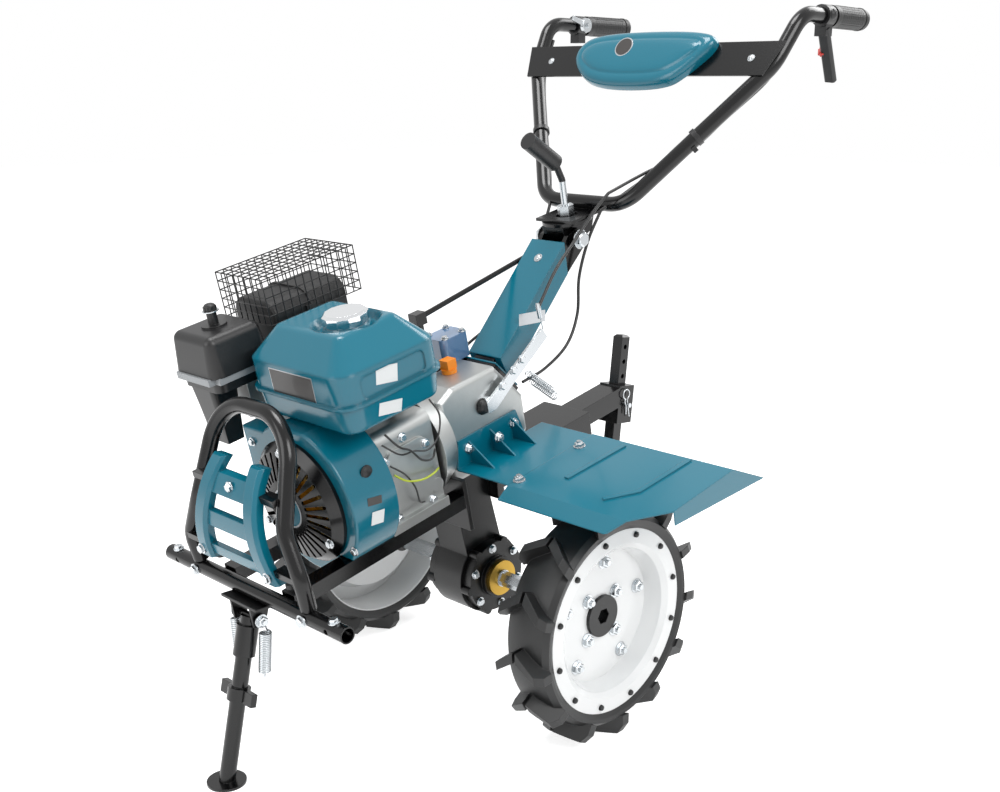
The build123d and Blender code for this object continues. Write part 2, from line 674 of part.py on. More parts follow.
# Air cleaner and carburettor on the right in front, muffler and its guard behind them
AIR_BOX = (285.0, -168.0)
AIR_LENGTH = 112.0
AIR_WIDTH = 118.0
AIR_SPLIT_Z = 672.0
AIR_BASE_HEIGHT = 26.0
AIR_COVER_HEIGHT = 62.0
with BuildPart() as air_cover:
    with BuildSketch(Plane.XY.offset(AIR_SPLIT_Z)):
        with Locations(AIR_BOX):
            RectangleRounded(AIR_LENGTH, AIR_WIDTH, 20)
    extrude(amount=AIR_COVER_HEIGHT, taper=7)
    fillet(air_cover.faces().sort_by(Axis.Z)[-1].edges(), 14)
    with BuildSketch(Plane.XY.offset(AIR_SPLIT_Z + AIR_COVER_HEIGHT)):
        with Locations(AIR_BOX):
            Circle(20)
    extrude(amount=3)
    with BuildSketch(Plane.XY.offset(AIR_SPLIT_Z + AIR_COVER_HEIGHT + 3)):
        with Locations(AIR_BOX):
            Circle(8)
    extrude(amount=20)

with BuildPart() as air_base:
    with BuildSketch(Plane.XY.offset(AIR_SPLIT_Z)):
        with Locations(AIR_BOX):
            RectangleRounded(AIR_LENGTH - 14, AIR_WIDTH - 14, 16)
    extrude(amount=-AIR_BASE_HEIGHT)
    with BuildSketch(Plane.XY.offset(AIR_SPLIT_Z - AIR_BASE_HEIGHT)):
        with Locations((AIR_BOX[0] + 22, AIR_BOX[1] - 8)):
            RectangleRounded(50, 66, 10)
    extrude(amount=-96, taper=6)

CARB_TOP_Z = AIR_SPLIT_Z - AIR_BASE_HEIGHT
CARB_X = 252.0
CARB_SIZE = 40.0
CARB_HEIGHT = 48.0
INTAKE_X = CYLINDER_PLANE.origin.X + CYLINDER_SIZE / 2
INTAKE_Z = 556.0
with BuildPart() as carburettor:
    with Locations((CARB_X, AIR_BOX[1] + 8, CARB_TOP_Z - CARB_HEIGHT / 2)):
        Box(CARB_SIZE, CARB_SIZE, CARB_HEIGHT)
    with Locations((CARB_X, AIR_BOX[1] + 8, CARB_TOP_Z - CARB_HEIGHT - 12)):
        Cylinder(17, 24)
    with BuildSketch(Plane.XZ.offset(-AIR_BOX[1] - 8 - CARB_SIZE / 2)):
        with BuildLine():
            Polyline(
                (CARB_X, CARB_TOP_Z - 10),
                (CARB_X, CARB_TOP_Z - CARB_HEIGHT),
                (INTAKE_X, INTAKE_Z - 14),
                (INTAKE_X, INTAKE_Z + 22),
                close=True,
            )
        make_face()
    extrude(amount=CARB_SIZE)

MUFFLER_AT = (138.0, -172.0, 706.0)
MUFFLER_SIZE = (140.0, 112.0, 84.0)
MUFFLER_LEFT_Y = MUFFLER_AT[1] + MUFFLER_SIZE[1] / 2
MUFFLER_RIGHT_Y = MUFFLER_AT[1] - MUFFLER_SIZE[1] / 2
PIPE_AT = (160.0, -146.0)
PIPE_RADIUS = 17.0
SHIELD_RIBS = 9
SHIELD_RIB = 5.0
GUARD_LOW = (38.0, -238.0, 716.0)
GUARD_HIGH = (222.0, -110.0, 792.0)
GUARD_WIRE = 3.0
GUARD_PITCH = 16.0
GUARD_STRAP_Z = GUARD_LOW[2] + 2 * GUARD_WIRE
with BuildSketch(Plane(MUFFLER_AT, x_dir=(0, 1, 0), z_dir=(1, 0, 0))) as rib:
    RectangleRounded(MUFFLER_SIZE[1] + 6, MUFFLER_SIZE[2] + 6, 29)
    with Locations((0, -MUFFLER_SIZE[2] / 2)):
        Rectangle(MUFFLER_SIZE[1] + 10, MUFFLER_SIZE[2] + 8, mode=Mode.SUBTRACT)
with BuildPart() as muffler:
    with Locations(MUFFLER_AT):
        Box(*MUFFLER_SIZE)
    fillet(muffler.edges().filter_by(Axis.X), 26)
    fillet(muffler.faces().sort_by(Axis.X)[-1].edges(), 6)
    with GridLocations(MUFFLER_SIZE[0] / (SHIELD_RIBS + 1), 1, SHIELD_RIBS, 1):
        extrude(rib.sketch, amount=SHIELD_RIB / 2, both=True)
    with Locations((MUFFLER_AT[0], (GUARD_LOW[1] + GUARD_HIGH[1]) / 2, GUARD_STRAP_Z)):
        Box(24, GUARD_HIGH[1] - GUARD_LOW[1] - GUARD_WIRE, 8)
    with BuildSketch(Plane(origin=(*PIPE_AT, MUFFLER_AT[2] - MUFFLER_SIZE[2] / 2 + 1), z_dir=(0, 0, -1))):
        Circle(PIPE_RADIUS)
    extrude(amount=110)
    with BuildSketch(CYLINDER_PLANE):
        with Locations((0, -CYLINDER_SIZE)):
            Rectangle(CYLINDER_SIZE, 3 * CYLINDER_SIZE)
    extrude(amount=CYLINDER_LENGTH + HEAD_LENGTH, mode=Mode.SUBTRACT)

GUARD_MIDDLE = [(low + high) / 2 for low, high in zip(GUARD_LOW, GUARD_HIGH)]
GUARD_SPAN = [high - low for low, high in zip(GUARD_LOW, GUARD_HIGH)]


def mesh_panel(plane, length, height):
    """One welded wire panel in the middle of a plane, its meshes close to the pitch."""
    columns = round(length / GUARD_PITCH)
    rows = round(height / GUARD_PITCH)
    with BuildPart() as panel:
        with BuildSketch(plane):
            Rectangle(length + GUARD_WIRE, height + GUARD_WIRE)
            with GridLocations(length / columns, height / rows, columns, rows):
                Rectangle(length / columns - GUARD_WIRE, height / rows - GUARD_WIRE, mode=Mode.SUBTRACT)
        extrude(amount=GUARD_WIRE / 2, both=True)
    return panel.part


FRONT_WARD = {"x_dir": (0, 1, 0), "z_dir": (1, 0, 0)}
LEFT_WARD = {"x_dir": (-1, 0, 0), "z_dir": (0, 1, 0)}
with BuildPart() as guard:
    add(mesh_panel(Plane((GUARD_MIDDLE[0], GUARD_MIDDLE[1], GUARD_HIGH[2])), GUARD_SPAN[0], GUARD_SPAN[1]))
    for x in (GUARD_LOW[0], GUARD_HIGH[0]):
        end = Plane((x, GUARD_MIDDLE[1], GUARD_MIDDLE[2]), **FRONT_WARD)
        add(mesh_panel(end, GUARD_SPAN[1], GUARD_SPAN[2]))
    for y in (GUARD_LOW[1], GUARD_HIGH[1]):
        wall = Plane((GUARD_MIDDLE[0], y, GUARD_MIDDLE[2]), **LEFT_WARD)
        add(mesh_panel(wall, GUARD_SPAN[0], GUARD_SPAN[2]))

save(air_cover.part, "air_cleaner_cover")
save(air_base.part, "air_cleaner_base")
save(carburettor.part, "carburettor")
save(muffler.part, "muffler")
save(guard.part, "muffler_guard")


# Engine rails, cross tube, bumper hoop and its grille
RAIL_END_X = CROSS_TUBE_X - TUBE_DIAMETER / 2
RAIL_LENGTH = RAIL_END_X - RAIL_REAR_X
RAIL_MIDDLE_X = (RAIL_REAR_X + RAIL_END_X) / 2
with BuildPart() as rails:
    with Locations((RAIL_MIDDLE_X, RAIL_Y, CROSS_TUBE_Z), (RAIL_MIDDLE_X, -RAIL_Y, CROSS_TUBE_Z)):
        Box(RAIL_LENGTH, RAIL_WIDTH, RAIL_HEIGHT)
        Box(RAIL_LENGTH, RAIL_WIDTH - 2 * RAIL_WALL, RAIL_HEIGHT - 2 * RAIL_WALL, mode=Mode.SUBTRACT)

with BuildPart() as cross_tube:
    with BuildSketch(across(-CROSS_TUBE_HALF, CROSS_TUBE_X, CROSS_TUBE_Z)):
        Circle(TUBE_DIAMETER / 2)
        Circle(TUBE_DIAMETER / 2 - TUBE_WALL, mode=Mode.SUBTRACT)
    extrude(amount=2 * CROSS_TUBE_HALF)
    with BuildSketch(Plane(origin=(CROSS_TUBE_X, 0, CROSS_TUBE_Z), x_dir=(0, 1, 0), z_dir=(1, 0, 0))):
        with Locations((CROSS_TUBE_HALF - 34, 0), (34 - CROSS_TUBE_HALF, 0)):
            Circle(CROSS_TUBE_PIN / 2)
    extrude(amount=TUBE_DIAMETER, both=True, mode=Mode.SUBTRACT)

FOOT_Z = CROSS_TUBE_Z + TUBE_DIAMETER / 2
HOOP_SIDE = [(HOOP_FOOT[0], HOOP_FOOT[1], FOOT_Z), HOOP_KNEE, HOOP_HIP, HOOP_SHOULDER]
HOOP_ROUTE = HOOP_SIDE + [(x, -y, z) for x, y, z in reversed(HOOP_SIDE)]
HOOP_RADII = [50, 70, 78, 78, 70, 50]
with BuildLine() as route:
    FilletPolyline(*HOOP_ROUTE, radius=HOOP_RADII)
HOOP_START = Plane(origin=HOOP_ROUTE[0], z_dir=route.line % 0)


def flank(z):
    """How far out the grille's uprights reach at one height."""
    share = (z - GRILLE_LOW_Z) / (GRILLE_HIGH_Z - GRILLE_LOW_Z)
    return GRILLE_LOW_Y + share * (GRILLE_HIGH_Y - GRILLE_LOW_Y)


GRILLE_FRONT = Plane(origin=(CROSS_TUBE_X - 60, 0, 0), x_dir=(0, 1, 0), z_dir=(1, 0, 0))
with BuildPart() as hoop:
    for x, y, z in LUGS:
        with Locations((x, y / 2, z), (x, -y / 2, z)):
            Box(LUG_PLATE, y, LUG_PLATE / 2)
    with BuildSketch(GRILLE_FRONT):
        with BuildLine():
            Polyline(
                (-flank(GRILLE_LOW_Z), GRILLE_LOW_Z),
                (flank(GRILLE_LOW_Z), GRILLE_LOW_Z),
                (flank(GRILLE_HIGH_Z), GRILLE_HIGH_Z),
                (-flank(GRILLE_HIGH_Z), GRILLE_HIGH_Z),
                close=True,
            )
        make_face()
    extrude(amount=120, mode=Mode.SUBTRACT)
    with BuildSketch(HOOP_START):
        Circle(TUBE_DIAMETER / 2)
    sweep(path=route.line, mode=Mode.SUBTRACT)
    with BuildSketch(HOOP_START):
        Circle(TUBE_DIAMETER / 2)
        Circle(TUBE_DIAMETER / 2 - TUBE_WALL, mode=Mode.SUBTRACT)
    sweep(path=route.line)
    with BuildSketch(across(-200, CROSS_TUBE_X, CROSS_TUBE_Z)):
        Circle(TUBE_DIAMETER / 2)
    extrude(amount=400, mode=Mode.SUBTRACT)


def grille_band(step):
    """The grille's bowed section seen from the side, its front drawn back by a step."""
    low, middle, high = GRILLE_BOW
    with BuildSketch(Plane.XZ.offset(-GRILLE_LOW_Y)) as section:
        with BuildLine():
            face = ThreePointArc(
                (low[0] - step, low[1]),
                (middle[0] - step, middle[1]),
                (high[0] - step, high[1]),
            )
            back = ThreePointArc(
                (high[0] - GRILLE_DEPTH, high[1] - 6),
                (middle[0] - GRILLE_DEPTH, middle[1]),
                (low[0] - GRILLE_DEPTH, low[1]),
            )
            Line(face @ 1, back @ 0)
            Line(back @ 1, face @ 0)
        make_face()
    return section.sketch


# The uprights stand proud of three crossbars
with BuildPart() as uprights:
    extrude(grille_band(0), amount=2 * GRILLE_LOW_Y)
    with BuildSketch(GRILLE_FRONT):
        for side in (1, -1):
            with BuildLine():
                Polyline(
                    (side * flank(GRILLE_LOW_Z), GRILLE_LOW_Z),
                    (side * flank(GRILLE_HIGH_Z), GRILLE_HIGH_Z),
                    (side * (flank(GRILLE_HIGH_Z) - UPRIGHT_WIDTH), GRILLE_HIGH_Z),
                    (side * (flank(GRILLE_LOW_Z) - UPRIGHT_WIDTH), GRILLE_LOW_Z),
                    close=True,
                )
            make_face()
    extrude(amount=120, mode=Mode.INTERSECT)
    bowed = uprights.edges().filter_by(lambda edge: edge.length > UPRIGHT_WIDTH * 2)
    chamfer(bowed.sort_by(Axis.X)[-4:], UPRIGHT_CHAMFER)

with BuildPart() as grille:
    extrude(grille_band(CROSSBAR_STEP), amount=2 * GRILLE_LOW_Y)
    with BuildSketch(GRILLE_FRONT):
        for low, high in CROSSBARS:
            with BuildLine():
                Polyline(
                    (UPRIGHT_WIDTH / 2 - flank(low), low),
                    (flank(low) - UPRIGHT_WIDTH / 2, low),
                    (flank(high) - UPRIGHT_WIDTH / 2, high),
                    (UPRIGHT_WIDTH / 2 - flank(high), high),
                    close=True,
                )
            make_face()
    extrude(amount=120, mode=Mode.INTERSECT)
    add(uprights.part)

save(rails.part, "engine_rails")
save(cross_tube.part, "cross_tube")
save(hoop.part, "bumper_hoop")
save(grille.part, "bumper_grille")


# Fenders: an inner panel bolted to the housing and an outer panel lapped onto it
FENDER_FRONT_X = 74.0
FENDER_REAR_X = -152.0
REAR_DROP = 48.0
FRONT_DROP = 12.0
with BuildPart() as fender_inner:
    with BuildSketch(Plane.XY.offset(FENDER_Z)):
        with BuildLine():
            Polyline(
                (BELL_REAR_X - 8, FENDER_INNER_Y),
                (FENDER_FRONT_X - 24, FENDER_INNER_Y + 30),
                (FENDER_FRONT_X - 24, FENDER_LAP_Y + 14),
                (FENDER_REAR_X, FENDER_LAP_Y + 14),
                (FENDER_REAR_X, FENDER_INNER_Y),
                close=True,
            )
        make_face()
    extrude(amount=-FENDER_SHEET)
    with BuildSketch(Plane.XZ.offset(-HOUSING_HALF_WIDTH)):
        with BuildLine():
            Polyline(
                (50, FENDER_Z - FENDER_SHEET),
                (40, FENDER_Z + 46),
                (-96, FENDER_Z + 46),
                (-110, FENDER_Z - FENDER_SHEET),
                close=True,
            )
        make_face()
    extrude(amount=-(FENDER_INNER_Y - HOUSING_HALF_WIDTH))
    for x in GUSSETS_X:
        with BuildSketch(Plane(origin=(x, 0, 0), x_dir=(0, 1, 0), z_dir=(1, 0, 0))):
            with BuildLine():
                Polyline(
                    (FENDER_INNER_Y, FENDER_Z),
                    (FENDER_INNER_Y, FENDER_Z + GUSSET_HEIGHT),
                    (FENDER_INNER_Y + GUSSET_REACH, FENDER_Z),
                    close=True,
                )
            make_face()
        extrude(amount=GUSSET_SHEET)

with BuildPart() as fender_outer:
    for lower, mode in ((0, Mode.ADD), (FENDER_SHEET, Mode.SUBTRACT)):
        with BuildSketch(Plane.XZ.offset(-FENDER_LAP_Y + lower / 2)):
            with BuildLine():
                Polyline(
                    (FENDER_FRONT_X + 6 - 1.2 * lower, FENDER_Z - FRONT_DROP - lower),
                    (FENDER_FRONT_X - 22 - lower * 0.4, FENDER_Z + FENDER_SHEET - lower),
                    (FENDER_REAR_X + lower * 0.4, FENDER_Z + FENDER_SHEET - lower),
                    (FENDER_REAR_X - 78 + lower * 1.2, FENDER_Z - REAR_DROP - lower),
                    close=True,
                )
            make_face()
        extrude(amount=-(FENDER_OUTER_Y - FENDER_LAP_Y), mode=mode)
    with BuildSketch(Plane.XY.offset(FENDER_Z - 80)):
        with BuildLine():
            Polyline((100, 378), (-6, FENDER_OUTER_Y + 1), (100, FENDER_OUTER_Y + 1), close=True)
        make_face()
    extrude(amount=100, mode=Mode.SUBTRACT)
    with BuildSketch(Plane.XY.offset(FENDER_Z + FENDER_SHEET)):
        for points in FENDER_BEADS:
            with BuildLine() as bead:
                Polyline(*points)
            trace(bead.line, BEAD_WIDTH)
    extrude(amount=BEAD_HEIGHT)

save(fender_inner.part, "fender_inner_left")
save(mirror(fender_inner.part, about=Plane.XZ), "fender_inner_right")
save(fender_outer.part, "fender_outer_left")
save(mirror(fender_outer.part, about=Plane.XZ), "fender_outer_right")


# Clutch arm on the left of the column and the shift rod on its right
CLUTCH_BAR = ((-28, 502), (-28, 520), (-84, 548), (-176, 596), (-186, 578), (-94, 530), (-46, 502))
with BuildPart() as clutch_arm:
    with BuildSketch(Plane.XZ.offset(-HOUSING_HALF_WIDTH)):
        with Locations((-40, 512)):
            Circle(14)
    extrude(amount=-8)
    with BuildSketch(Plane.XZ.offset(-HOUSING_HALF_WIDTH - 8)):
        with BuildLine():
            Polyline(*CLUTCH_BAR, close=True)
        make_face()
    extrude(amount=-5)

SHIFT_Y = -46.0
SHIFT_POST = (-12.0, 656.0)
ROD_END = (-303.0, 680.0)
with BuildPart() as shift_rod:
    with BuildSketch(Plane.XY.offset(HOUSING_TOP_Z)):
        with Locations((SHIFT_POST[0], SHIFT_Y + 4)):
            Circle(5)
    extrude(amount=SHIFT_POST[1] - HOUSING_TOP_Z)
    with Locations((SHIFT_POST[0], SHIFT_Y, SHIFT_POST[1])):
        Box(22, 20, 20)
    with BuildSketch(Plane(origin=(SHIFT_POST[0], SHIFT_Y, SHIFT_POST[1]), x_dir=(0, 1, 0),
                           z_dir=(ROD_END[0] - SHIFT_POST[0], 0, ROD_END[1] - SHIFT_POST[1]))):
        Circle(4.5)
    extrude(amount=hypot(ROD_END[0] - SHIFT_POST[0], ROD_END[1] - SHIFT_POST[1]))
    with BuildSketch(Plane.XZ.offset(-SHIFT_Y + 6)):
        with Locations(ROD_END):
            Circle(8)
    extrude(amount=SHIFT_Y + EAR_INNER + EAR_THICK - 6)

save(clutch_arm.part, "clutch_arm")
save(shift_rod.part, "shift_rod")


# Hitch at the rear: a bracket under the housing, a drawbar and the depth coulter pinned in its end
HITCH_TOP_Z = 396.0
HITCH_END_X = -280.0
HITCH_WIDTH = 110.0
HITCH_WALL = 8.0
SLEEVE_X = -414.0
SLEEVE_Z = 350.0
COULTER_X = 22.0
COULTER_Y = 22.0
COULTER_LEAN = 18.0
COULTER_BELOW = 190.0
COULTER_ABOVE = 130.0
COULTER_PITCH = 28.0
COULTER_PIN = 9.0
COULTER_PLANE = Plane(
    origin=(SLEEVE_X, 0, SLEEVE_Z),
    x_dir=(cos(radians(COULTER_LEAN)), 0, sin(radians(COULTER_LEAN))),
    z_dir=(-sin(radians(COULTER_LEAN)), 0, cos(radians(COULTER_LEAN))),
)
HITCH_MIDDLE_X = (NECK_REAR_X - 8 + HITCH_END_X) / 2
with BuildPart() as hitch:
    with Locations((HITCH_MIDDLE_X, 0, HITCH_TOP_Z - HITCH_WALL / 2)):
        Box(NECK_REAR_X - 8 - HITCH_END_X, HITCH_WIDTH, HITCH_WALL)
    for side in (1, -1):
        with Locations((HITCH_MIDDLE_X, side * (HITCH_WIDTH - HITCH_WALL) / 2, HITCH_TOP_Z - 22)):
            Box(NECK_REAR_X - 8 - HITCH_END_X, HITCH_WALL, 44)
    with Locations((NECK_REAR_X - 6, 0, HITCH_TOP_Z - 30)):
        Box(20, HITCH_WIDTH, 60)
    with BuildSketch(Plane.XZ.offset(-HITCH_WIDTH)):
        with BuildLine():
            Polyline(*NECK_REAR_EDGE, (NECK_FRONT_X, AXLE_PLANE_Z), (NECK_FRONT_X, NECK_TOP_Z), close=True)
        make_face()
    extrude(amount=2 * HITCH_WIDTH, mode=Mode.SUBTRACT)

with BuildPart() as drawbar:
    with Locations(((HITCH_END_X + 20 + SLEEVE_X) / 2, 0, HITCH_TOP_Z - HITCH_WALL - 18)):
        Box(HITCH_END_X + 20 - SLEEVE_X, 50, 36)
    with BuildSketch(COULTER_PLANE.offset(-36)):
        Rectangle(COULTER_X + 20, COULTER_Y + 28)
    extrude(amount=72)
    with BuildSketch(COULTER_PLANE.offset(-60)):
        Rectangle(COULTER_X + 0.6, COULTER_Y + 0.6)
    extrude(amount=120, mode=Mode.SUBTRACT)

with BuildPart() as coulter:
    with BuildSketch(COULTER_PLANE.offset(-COULTER_BELOW)):
        Rectangle(COULTER_X, COULTER_Y)
    extrude(amount=COULTER_BELOW + COULTER_ABOVE)
    chamfer(coulter.faces().sort_by(Axis.Z)[-1].edges(), 4)
    for along in range(5):
        with Locations(COULTER_PLANE.offset(COULTER_ABOVE - 22 - COULTER_PITCH * along)):
            Cylinder(COULTER_PIN / 2, 2 * COULTER_Y, rotation=(90, 0, 0), mode=Mode.SUBTRACT)

save(hitch.part, "hitch_bracket")
save(drawbar.part, "drawbar")
save(coulter.part, "coulter")


# Parking stand, drawn in its parked place: a leg hinged under the cross tube, held by two springs
LEG_ANGLE = atan2(STAND_FOOT_X - STAND_PIVOT[0], STAND_PIVOT[1])
LEG_PLANE = Plane(
    origin=(STAND_PIVOT[0], 0, STAND_PIVOT[1]),
    x_dir=(0, 1, 0),
    z_dir=(sin(LEG_ANGLE), 0, -cos(LEG_ANGLE)),
)
LEG_LENGTH = hypot(STAND_FOOT_X - STAND_PIVOT[0], STAND_PIVOT[1])
TIP = radians(NOSE_DOWN)
TUBE_PARKED = (
    CROSS_TUBE_X * cos(TIP) + (CROSS_TUBE_Z - WHEEL_RADIUS) * sin(TIP),
    WHEEL_RADIUS - CROSS_TUBE_X * sin(TIP) + (CROSS_TUBE_Z - WHEEL_RADIUS) * cos(TIP),
)
BRACKET_HALF = 27.0
BRACKET_SHEET = 4.0
STAND_BOLT = 10.0
with BuildPart() as stand_bracket:
    with Locations((STAND_PIVOT[0] - 2, 0, TUBE_PARKED[1] - TUBE_DIAMETER / 2)):
        Box(40, 90, BRACKET_SHEET)
    for side in (1, -1):
        with BuildSketch(Plane.XZ.offset(-side * BRACKET_HALF)):
            with BuildLine():
                Polyline(
                    (STAND_PIVOT[0] - 20, TUBE_PARKED[1] - TUBE_DIAMETER / 2),
                    (STAND_PIVOT[0] + 16, TUBE_PARKED[1] - TUBE_DIAMETER / 2),
                    (STAND_PIVOT[0] + 10, STAND_PIVOT[1] - 10),
                    (STAND_PIVOT[0] - 10, STAND_PIVOT[1] - 10),
                    close=True,
                )
            make_face()
            with Locations(STAND_PIVOT):
                Circle(STAND_BOLT / 2 + RUNNING_FIT, mode=Mode.SUBTRACT)
        extrude(amount=side * BRACKET_SHEET)
    with BuildSketch(across(-200, TUBE_PARKED[0], TUBE_PARKED[1])):
        Circle(TUBE_DIAMETER / 2)
    extrude(amount=400, mode=Mode.SUBTRACT)

with BuildPart() as stand_leg:
    with BuildSketch(LEG_PLANE):
        Circle(STAND_TUBE / 2)
    extrude(amount=LEG_LENGTH - 2)
    with BuildSketch(LEG_PLANE.offset(14)):
        Circle(STAND_SLEEVE / 2)
    extrude(amount=48)
    with BuildSketch(Plane.XY):
        with Locations((STAND_FOOT_X, 0)):
            Circle(STAND_FOOT_RADIUS)
    extrude(amount=STAND_FOOT_PLATE)
    with BuildSketch(across(-BRACKET_HALF - BRACKET_SHEET - 3, STAND_PIVOT[0], STAND_PIVOT[1])):
        Circle(STAND_BOLT / 2)
    extrude(amount=2 * (BRACKET_HALF + BRACKET_SHEET + 3))
    with BuildSketch(LEG_PLANE.offset(112)):
        Circle(STAND_TUBE / 2 + 5)
        Rectangle(80, 10)
    extrude(amount=20)
    with BuildSketch(Plane.XY.offset(-30)):
        with Locations((STAND_FOOT_X, 0)):
            Circle(80)
    extrude(amount=30, mode=Mode.SUBTRACT)

with BuildPart() as springs:
    with BuildSketch(LEG_PLANE.offset(14)):
        with Locations((-36, 0), (36, 0)):
            Circle(6)
            Circle(4, mode=Mode.SUBTRACT)
    extrude(amount=98)

save(stand_bracket.part, "stand_bracket", PARKED)
save(stand_leg.part, "stand_leg", PARKED)
save(springs.part, "stand_springs", PARKED)


# Handle head: the block that tilts on the column's pivot and carries the gear lever and the swivel plate
SIDE_GAP = 0.3
HEAD_HALF = EAR_INNER - SIDE_GAP
NUT_FACE = EAR_INNER + EAR_THICK + SIDE_GAP
NUT_THICK = 9.0
NUT_RADIUS = 13.0
SWIVEL_Z = 726.0
SWIVEL_X = -345.0
PLATE_THICK = 6.0
with BuildPart() as handle_head:
    with BuildSketch(Plane.XZ.offset(-HEAD_HALF)):
        with BuildLine():
            Polyline(
                (TILT_PIVOT[0] + 16, TILT_PIVOT[1] - 8),
                (TILT_PIVOT[0] + 22, SWIVEL_Z),
                (SWIVEL_X - 44, SWIVEL_Z),
                (SWIVEL_X - 34, SWIVEL_Z - 24),
                (TILT_PIVOT[0] - 16, TILT_PIVOT[1] - 10),
                (TILT_PIVOT[0], TILT_PIVOT[1] - 16),
                close=True,
            )
        make_face()
    extrude(amount=2 * HEAD_HALF)
    with BuildSketch(Plane.XY.offset(SWIVEL_Z)):
        with Locations((SWIVEL_X, 0)):
            Circle(44)
    extrude(amount=PLATE_THICK)
    with BuildSketch(across(-NUT_FACE - NUT_THICK, TILT_PIVOT[0], TILT_PIVOT[1])):
        Circle(PIVOT_BOLT / 2 - RUNNING_FIT)
    extrude(amount=2 * (NUT_FACE + NUT_THICK))
    for side in (1, -1):
        with BuildSketch(across(side * NUT_FACE, TILT_PIVOT[0], TILT_PIVOT[1])):
            RegularPolygon(NUT_RADIUS, 6)
        extrude(amount=side * NUT_THICK)

LEVER_ROD = 12.0
KNOB_START = (-333.0, 830.0)
KNOB_END = (-281.0, 877.0)
KNOB_RADIUS = 15.0
KNOB_LENGTH = 78.0
KNOB_PLANE = Plane(
    origin=(KNOB_START[0], 0, KNOB_START[1]),
    z_dir=(KNOB_END[0] - KNOB_START[0], 0, KNOB_END[1] - KNOB_START[1]),
)
PLATE_TOP = SWIVEL_Z + PLATE_THICK
with BuildPart() as gear_lever:
    with BuildSketch(Plane.XY.offset(PLATE_TOP)):
        with Locations((SWIVEL_X, 0)):
            RegularPolygon(15, 6)
    extrude(amount=22)
    with BuildLine() as lever_route:
        FilletPolyline(
            (SWIVEL_X, 0, PLATE_TOP + 20),
            (SWIVEL_X, 0, PLATE_TOP + 66),
            (KNOB_START[0], 0, KNOB_START[1]),
            (KNOB_END[0], 0, KNOB_END[1]),
            radius=14,
        )
    with BuildSketch(Plane.XY.offset(PLATE_TOP + 20)):
        with Locations((SWIVEL_X, 0)):
            Circle(LEVER_ROD / 2)
    sweep(path=lever_route.line)
    with BuildSketch(KNOB_PLANE):
        Circle(KNOB_RADIUS)
    extrude(amount=KNOB_LENGTH)

save(handle_head.part, "handle_head")
save(gear_lever.part, "gear_lever")


# Handlebar: one bent tube clamped on a swivelling plate, with console, grips and levers
BAR_SIDE = [BAR_LOW, BAR_HIGH, BAR_TOP, BAR_END]
BAR_ROUTE = [(x, -y, z) for x, y, z in reversed(BAR_SIDE)] + [(x, y, z) for x, y, z in BAR_SIDE]
SWIVEL_GAP = 0.3
SWIVEL_HOLE = 19.0
with BuildPart() as handlebar:
    with BuildLine() as bar:
        FilletPolyline(*BAR_ROUTE, radius=[50, 90, 60, 60, 90, 50])
    with BuildSketch(Plane(origin=BAR_ROUTE[0], z_dir=bar.line % 0)):
        Circle(BAR_DIAMETER / 2)
        Circle(BAR_DIAMETER / 2 - BAR_WALL, mode=Mode.SUBTRACT)
    sweep(path=bar.line)
    with BuildSketch(Plane.XY.offset(PLATE_TOP + SWIVEL_GAP)):
        with Locations((SWIVEL_X - 14, 0)):
            Rectangle(96, 84)
        with Locations((SWIVEL_X, 0)):
            Circle(SWIVEL_HOLE, mode=Mode.SUBTRACT)
    extrude(amount=5)

CONSOLE_GAP = 1.4
CONSOLE_SHEET = 3.0
CONSOLE_PLANE = Plane(origin=(BAR_HIGH[0], 0, BAR_HIGH[2]), x_dir=(0, 1, 0),
                      z_dir=(BAR_TOP[2] - BAR_HIGH[2], 0, BAR_HIGH[0] - BAR_TOP[0]))
CONSOLE_BACK = BAR_DIAMETER / 2 + CONSOLE_GAP
CONSOLE_LEFT = ((168, 30), (120, -30), (80, -60))
CONSOLE_OUTLINE = ((-150, 20), (-110, 50), (120, 50), *CONSOLE_LEFT, (-80, -60), (-140, -20))
with BuildPart() as console_plate:
    with BuildSketch(CONSOLE_PLANE.offset(CONSOLE_BACK)):
        with BuildLine():
            Polyline((-286, 34), (286, 34), (266, -30), (-266, -30), close=True)
        make_face()
    extrude(amount=CONSOLE_SHEET)

with BuildPart() as console_cover:
    with BuildSketch(CONSOLE_PLANE.offset(CONSOLE_BACK + CONSOLE_SHEET)):
        with BuildLine():
            Polyline(*CONSOLE_OUTLINE, close=True)
        make_face()
    extrude(amount=26)
    chamfer(console_cover.faces().sort_by(SortBy.AREA)[-1].edges(), 8)

ALONG_GRIP = (BAR_TOP[0] - BAR_END[0], BAR_TOP[1] - BAR_END[1], BAR_TOP[2] - BAR_END[2])
GRIP_AT = Plane(origin=BAR_END, z_dir=ALONG_GRIP)
with BuildPart() as grip:
    with BuildSketch(GRIP_AT.offset(-6)):
        Circle(GRIP_DIAMETER / 2)
    extrude(amount=GRIP_LENGTH + 6)
    with BuildSketch(GRIP_AT):
        Circle(BAR_DIAMETER / 2)
    extrude(amount=GRIP_LENGTH, mode=Mode.SUBTRACT)

